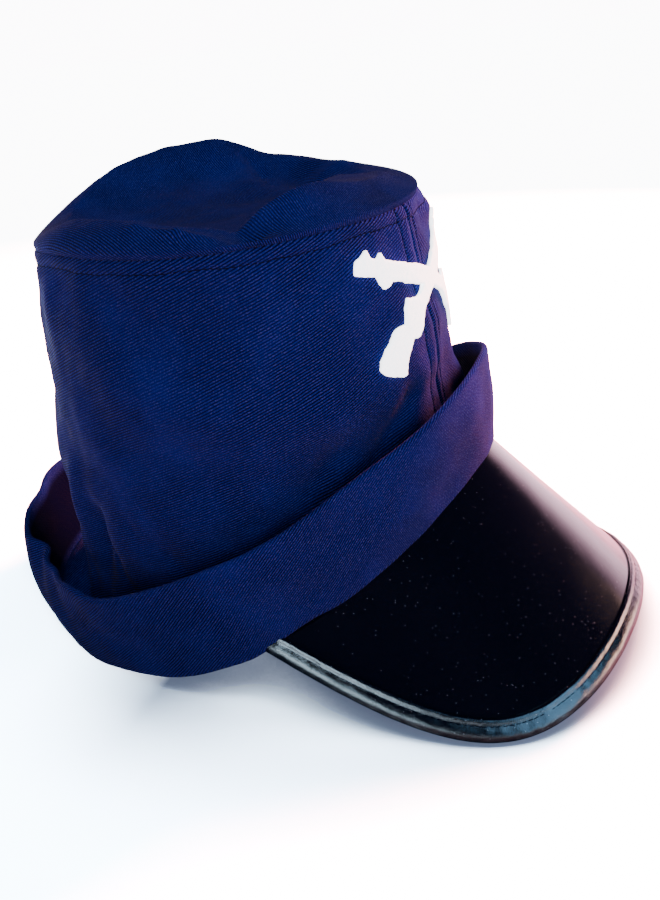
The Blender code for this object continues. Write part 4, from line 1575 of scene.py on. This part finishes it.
def set_world(settings):
    """A pale room that glows at the horizon, and is dark overhead where gloss mirrors it."""
    world = bpy.data.worlds.new("studio")
    world.use_nodes = True
    tree = world.node_tree
    way = add_node(tree, "ShaderNodeTexCoord").outputs["Generated"]
    height = add_node(tree, "ShaderNodeSeparateXYZ", {0: way}).outputs[2]
    rose_side = ramp(tree, towards_rose(tree, way), *ROSE_WALL)
    soft_edge = ramp(tree, height, SOFT_EDGE_START, settings.glow_top)
    clear_edge = ramp(tree, height, settings.wall_top - WALL_EDGE, settings.wall_top)
    softer = reckon(tree, "SUBTRACT", soft_edge, clear_edge)
    share = reckon(tree, "MULTIPLY_ADD", softer, rose_side, clear_edge)
    mirrored = blend_colours(tree, share, room_sides(tree, way, settings), settings.ceiling_colour)
    path = add_node(tree, "ShaderNodeLightPath").outputs
    colour = blend_colours(tree, path["Is Glossy Ray"], settings.room_light, mirrored)
    bright = scaled(settings.room_colour, settings.room_glow)
    colour = blend_colours(tree, path["Is Camera Ray"], colour, bright)
    feed(tree, tree.nodes["Background"], {"Color": colour})
    bpy.context.scene.world = world


# ---- Settings, operators and panel.


def colour_property(name, description, default):
    """A colour that a user may change."""
    return bpy.props.FloatVectorProperty(
        name=name, description=description, default=default, size=3, min=0.0, max=1.0, subtype="COLOR"
    )


def number_property(name, description, default, **limits):
    """A number that a user may change."""
    return bpy.props.FloatProperty(name=name, description=description, default=default, **limits)


def length_property(name, description, default):
    """A length that a user may change."""
    return number_property(name, description, default, unit="LENGTH")


def share_property(name, description, default):
    """A share, from nothing to all, that a user may change."""
    return number_property(name, description, default, min=0.0, max=1.0, subtype="FACTOR")


def gain_property(name, description, default):
    """A brightness that a user may change."""
    return number_property(name, description, default, min=0.0)


class KepiCloth(bpy.types.PropertyGroup):
    """The cloth's colours and weave."""

    navy: colour_property("Navy", "Colour of the cloth's ribs", (0.0045, 0.0098, 0.126))
    # Colour of the painted highlight on yarns at the ribs' crests.
    glint: colour_property("Glint", "Colour of the yarns that catch the light", (0.055, 0.064, 0.220))
    thread: colour_property("Thread", "Colour of the sewing thread", (0.0010, 0.0014, 0.0045))
    # Colour of the painted highlight on the thread's raised twist.
    thread_painted_highlight: colour_property(
        "Thread Light", "Colour of the thread's lit twist", (0.003, 0.004, 0.013)
    )
    sheen_colour: colour_property(
        "Sheen Colour", "Colour of the cloth's nap at a low angle", (1.00, 0.62, 0.62)
    )
    sheen: share_property("Sheen", "How strongly the nap shows at a low angle", 0.03)
    roughness: share_property("Roughness", "How dull the cloth is", 0.82)
    # Brightness of the painted shade in the furrows against the ribs.
    furrow_shade: share_property("Furrow Shade", "Brightness of the furrows against the ribs", 0.03)
    crown_pitch: number_property(
        "Crown Rib Pitch", "Distance between ribs on the crown, in millimetres", 0.92
    )
    crown_angle: number_property("Crown Rib Angle", "Slope of the crown's ribs, in degrees", 23.0)
    cuff_pitch: number_property(
        "Cuff Rib Pitch", "Distance between ribs on the cuff, in millimetres", 0.88
    )
    cuff_angle: number_property("Cuff Rib Angle", "Slope of the cuff's ribs, in degrees", 29.0)
    tip_pitch: number_property("Tip Rib Pitch", "Distance between ribs on the tip, in millimetres", 0.84)
    tip_angle: number_property("Tip Rib Angle", "Direction of the tip's ribs, in degrees", 64.0)
    yarn_length: number_property(
        "Yarn Length", "Length of one yarn's float along a rib, in millimetres", 1.3
    )
    rib_depth: length_property("Rib Depth", "Height of a rib over its furrow", 0.00028)


class KepiTrim(bpy.types.PropertyGroup):
    """The visor's, binding's and badge's finishes."""

    black: colour_property("Black", "Colour of the vinyl", (0.0009, 0.0013, 0.0040))
    gloss: share_property("Visor Roughness", "How dull the visor's gloss is", 0.13)
    white: colour_property("White", "Colour of the felt", (0.88, 0.93, 0.97))
    # How strongly the felt glows as painted light.
    badge_painted_glow: gain_property("Badge Lift", "How far the felt is overexposed", 4.0)


class KepiStitching(bpy.types.PropertyGroup):
    """The sizes of the stitches."""

    pitch: length_property("Pitch", "Distance from one stitch to the next", 0.0023)
    length: length_property("Length", "Length of one stitch", 0.0021)
    thickness: length_property("Thickness", "Half the thickness of the thread", 0.00021)


class KepiStudio(bpy.types.PropertyGroup):
    """The room, its floor and its lamps."""

    floor_radius: length_property("Floor Radius", "Radius of the floor", 9.0)
    floor_colour: colour_property("Floor Colour", "Colour of the floor", (0.97, 0.97, 1.0))
    floor_gain: gain_property("Floor Gain", "How far the floor is overexposed", 15.0)
    floor_bounce: colour_property(
        "Floor Bounce", "Colour of the light that the floor passes on", (0.50, 0.50, 0.56)
    )
    floor_mirrored: colour_property(
        "Floor Mirrored", "Colour of the floor where gloss mirrors it", (0.10, 0.13, 0.18)
    )
    contact_reach: length_property(
        "Contact Reach", "How far the cap's shade reaches over the floor", 0.10
    )
    # Colour of the painted shadow close under the cap.
    contact_shadow_colour: colour_property(
        "Contact Colour", "Colour of the floor close under the cap", (0.33, 0.35, 0.46)
    )
    rose_floor_gain: gain_property(
        "Rose Floor Gain", "Brightness of the floor beyond the visor where gloss mirrors it", 2.8
    )
    glow_start: length_property("Glow Start", "How far out the floor begins to fade into the glow", 0.36)
    rose_room: colour_property(
        "Rose Room", "Colour of the room that gloss mirrors beyond the visor", (1.0, 0.60, 0.76)
    )
    near_room: colour_property(
        "Near Room", "Colour of the room that gloss mirrors at the near side", (0.66, 0.84, 1.0)
    )
    copper_room: colour_property(
        "Copper Room", "Colour of the room that the visor's front edge mirrors", (1.0, 0.60, 0.46)
    )
    near_glow: gain_property(
        "Near Glow", "Brightness of the near side's room where gloss mirrors it", 16.0
    )
    copper_glow: gain_property(
        "Copper Glow", "Brightness of the copper room where gloss mirrors it", 45.0
    )
    rose_glow: gain_property("Rose Glow", "Brightness of the rose room where gloss mirrors it", 6.0)
    mirrored_glow_start: length_property(
        "Mirrored Glow Start", "How far out the mirrored floor begins to glow", 0.20
    )
    room_colour: colour_property("Room Colour", "Colour of the room's glow", (0.98, 0.95, 1.0))
    room_glow: gain_property("Room Glow", "Brightness of the room near the horizon", 12.0)
    glow_top: number_property(
        "Glow Top", "Height at which the glow ends, as the sine of its elevation", 0.31
    )
    wall_top: number_property("Wall Top", "Height at which the other mirrored walls end, as a sine", 0.26)
    ceiling_colour: colour_property(
        "Ceiling Colour", "Colour of the room overhead", (0.004, 0.009, 0.034)
    )
    room_light: colour_property("Room Light", "Soft light from all round", (0.04, 0.05, 0.08))


class KEPI_OT_add_crown(bpy.types.Operator):
    """Makes the two halves of the crown's wall"""

    bl_idname = "kepi.add_crown"
    bl_label = "Add Crown"

    def execute(self, context):
        settings = context.scene.kepi_cloth
        material = twill_material("crown twill", settings, settings.crown_pitch, settings.crown_angle)
        add_crown_half("crown_side_right", -1, material)
        add_crown_half("crown_side_left", 1, material)
        return {"FINISHED"}


class KEPI_OT_add_tip(bpy.types.Operator):
    """Makes the crown's round top"""

    bl_idname = "kepi.add_tip"
    bl_label = "Add Tip"

    def execute(self, context):
        settings = context.scene.kepi_cloth
        add_tip_piece(twill_material("tip twill", settings, settings.tip_pitch, settings.tip_angle))
        return {"FINISHED"}


class KEPI_OT_add_cuff(bpy.types.Operator):
    """Makes the turned-up cuff"""

    bl_idname = "kepi.add_cuff"
    bl_label = "Add Cuff"

    def execute(self, context):
        settings = context.scene.kepi_cloth
        pitch, angle = settings.cuff_pitch, settings.cuff_angle
        add_cuff_piece(twill_material("cuff twill", settings, pitch, angle, inside=CUFF_PAINTED_SHADE_SPAN))
        return {"FINISHED"}


class KEPI_OT_add_visor(bpy.types.Operator):
    """Makes the visor and the binding round its edge"""

    bl_idname = "kepi.add_visor"
    bl_label = "Add Visor"

    def execute(self, context):
        settings = context.scene.kepi_trim
        add_visor_piece(visor_material(settings))
        add_binding_piece(binding_material(settings))
        return {"FINISHED"}


class KEPI_OT_add_badge(bpy.types.Operator):
    """Makes the crossed-musket badge"""

    bl_idname = "kepi.add_badge"
    bl_label = "Add Badge"

    def execute(self, context):
        add_badge_piece(felt_material(context.scene.kepi_trim))
        return {"FINISHED"}


class KEPI_OT_add_stitches(bpy.types.Operator):
    """Sews the seams of the crown and the binding"""

    bl_idname = "kepi.add_stitches"
    bl_label = "Add Stitches"

    def execute(self, context):
        settings = context.scene.kepi_stitching
        tree = stitch_tree(thread_material(context.scene.kepi_cloth))
        values = {"Pitch": settings.pitch, "Length": settings.length, "Thickness": settings.thickness}
        tops = [topstitch_path(side) for side in (-1, 1)]
        add_stitches("tip_topstitching", tops, tree, values)
        fronts = [seam_row_path(-1, FRONT_ROW_RIGHT), seam_row_path(1, FRONT_ROW_LEFT)]
        add_stitches("front_seam_stitching", fronts, tree, values)
        backs = [seam_row_path(side, BACK_ROW, back=True) for side in (-1, 1)]
        add_stitches("back_seam_stitching", backs, tree, values)
        add_stitches("binding_stitching", [binding_stitch_path()], tree, values)
        return {"FINISHED"}


class KEPI_OT_set_stage(bpy.types.Operator):
    """Makes the floor, the room, the lamps and the camera"""

    bl_idname = "kepi.set_stage"
    bl_label = "Set Stage"

    def execute(self, context):
        settings = context.scene.kepi_studio
        add_camera()
        add_floor(settings)
        set_world(settings)
        for lamp in LAMPS:
            add_lamp(*lamp)
        return {"FINISHED"}


class KEPI_PT_panel(bpy.types.Panel):
    """Lists the cap's pieces and settings"""

    bl_label = "Kepi"
    bl_idname = "KEPI_PT_panel"
    bl_space_type = "VIEW_3D"
    bl_region_type = "UI"
    bl_category = "Kepi"

    def draw(self, context):
        for operator in OPERATORS:
            self.layout.operator(operator.bl_idname)
        for group_name in SETTINGS:
            group = getattr(context.scene, group_name)
            box = self.layout.box()
            for name in group.bl_rna.properties.keys():
                if name not in ("rna_type", "name"):
                    box.prop(group, name)


OPERATORS = (
    KEPI_OT_add_crown,
    KEPI_OT_add_tip,
    KEPI_OT_add_cuff,
    KEPI_OT_add_visor,
    KEPI_OT_add_badge,
    KEPI_OT_add_stitches,
    KEPI_OT_set_stage,
)
SETTINGS = {
    "kepi_cloth": KepiCloth,
    "kepi_trim": KepiTrim,
    "kepi_stitching": KepiStitching,
    "kepi_studio": KepiStudio,
}


def register():
    """Adds the settings, operators and panel to Blender."""
    for name, group in SETTINGS.items():
        bpy.utils.register_class(group)
        setattr(bpy.types.Scene, name, bpy.props.PointerProperty(type=group))
    for operator in OPERATORS:
        bpy.utils.register_class(operator)
    bpy.utils.register_class(KEPI_PT_panel)


def unregister():
    """Takes them away again."""
    bpy.utils.unregister_class(KEPI_PT_panel)
    for operator in reversed(OPERATORS):
        bpy.utils.unregister_class(operator)
    for name, group in SETTINGS.items():
        delattr(bpy.types.Scene, name)
        bpy.utils.unregister_class(group)


def main():
    """Makes the whole cap and its studio."""
    register()
    for operator in OPERATORS:
        group, name = operator.bl_idname.split(".")
        getattr(getattr(bpy.ops, group), name)()
    bpy.context.view_layer.update()


if __name__ == "__main__":
    main()
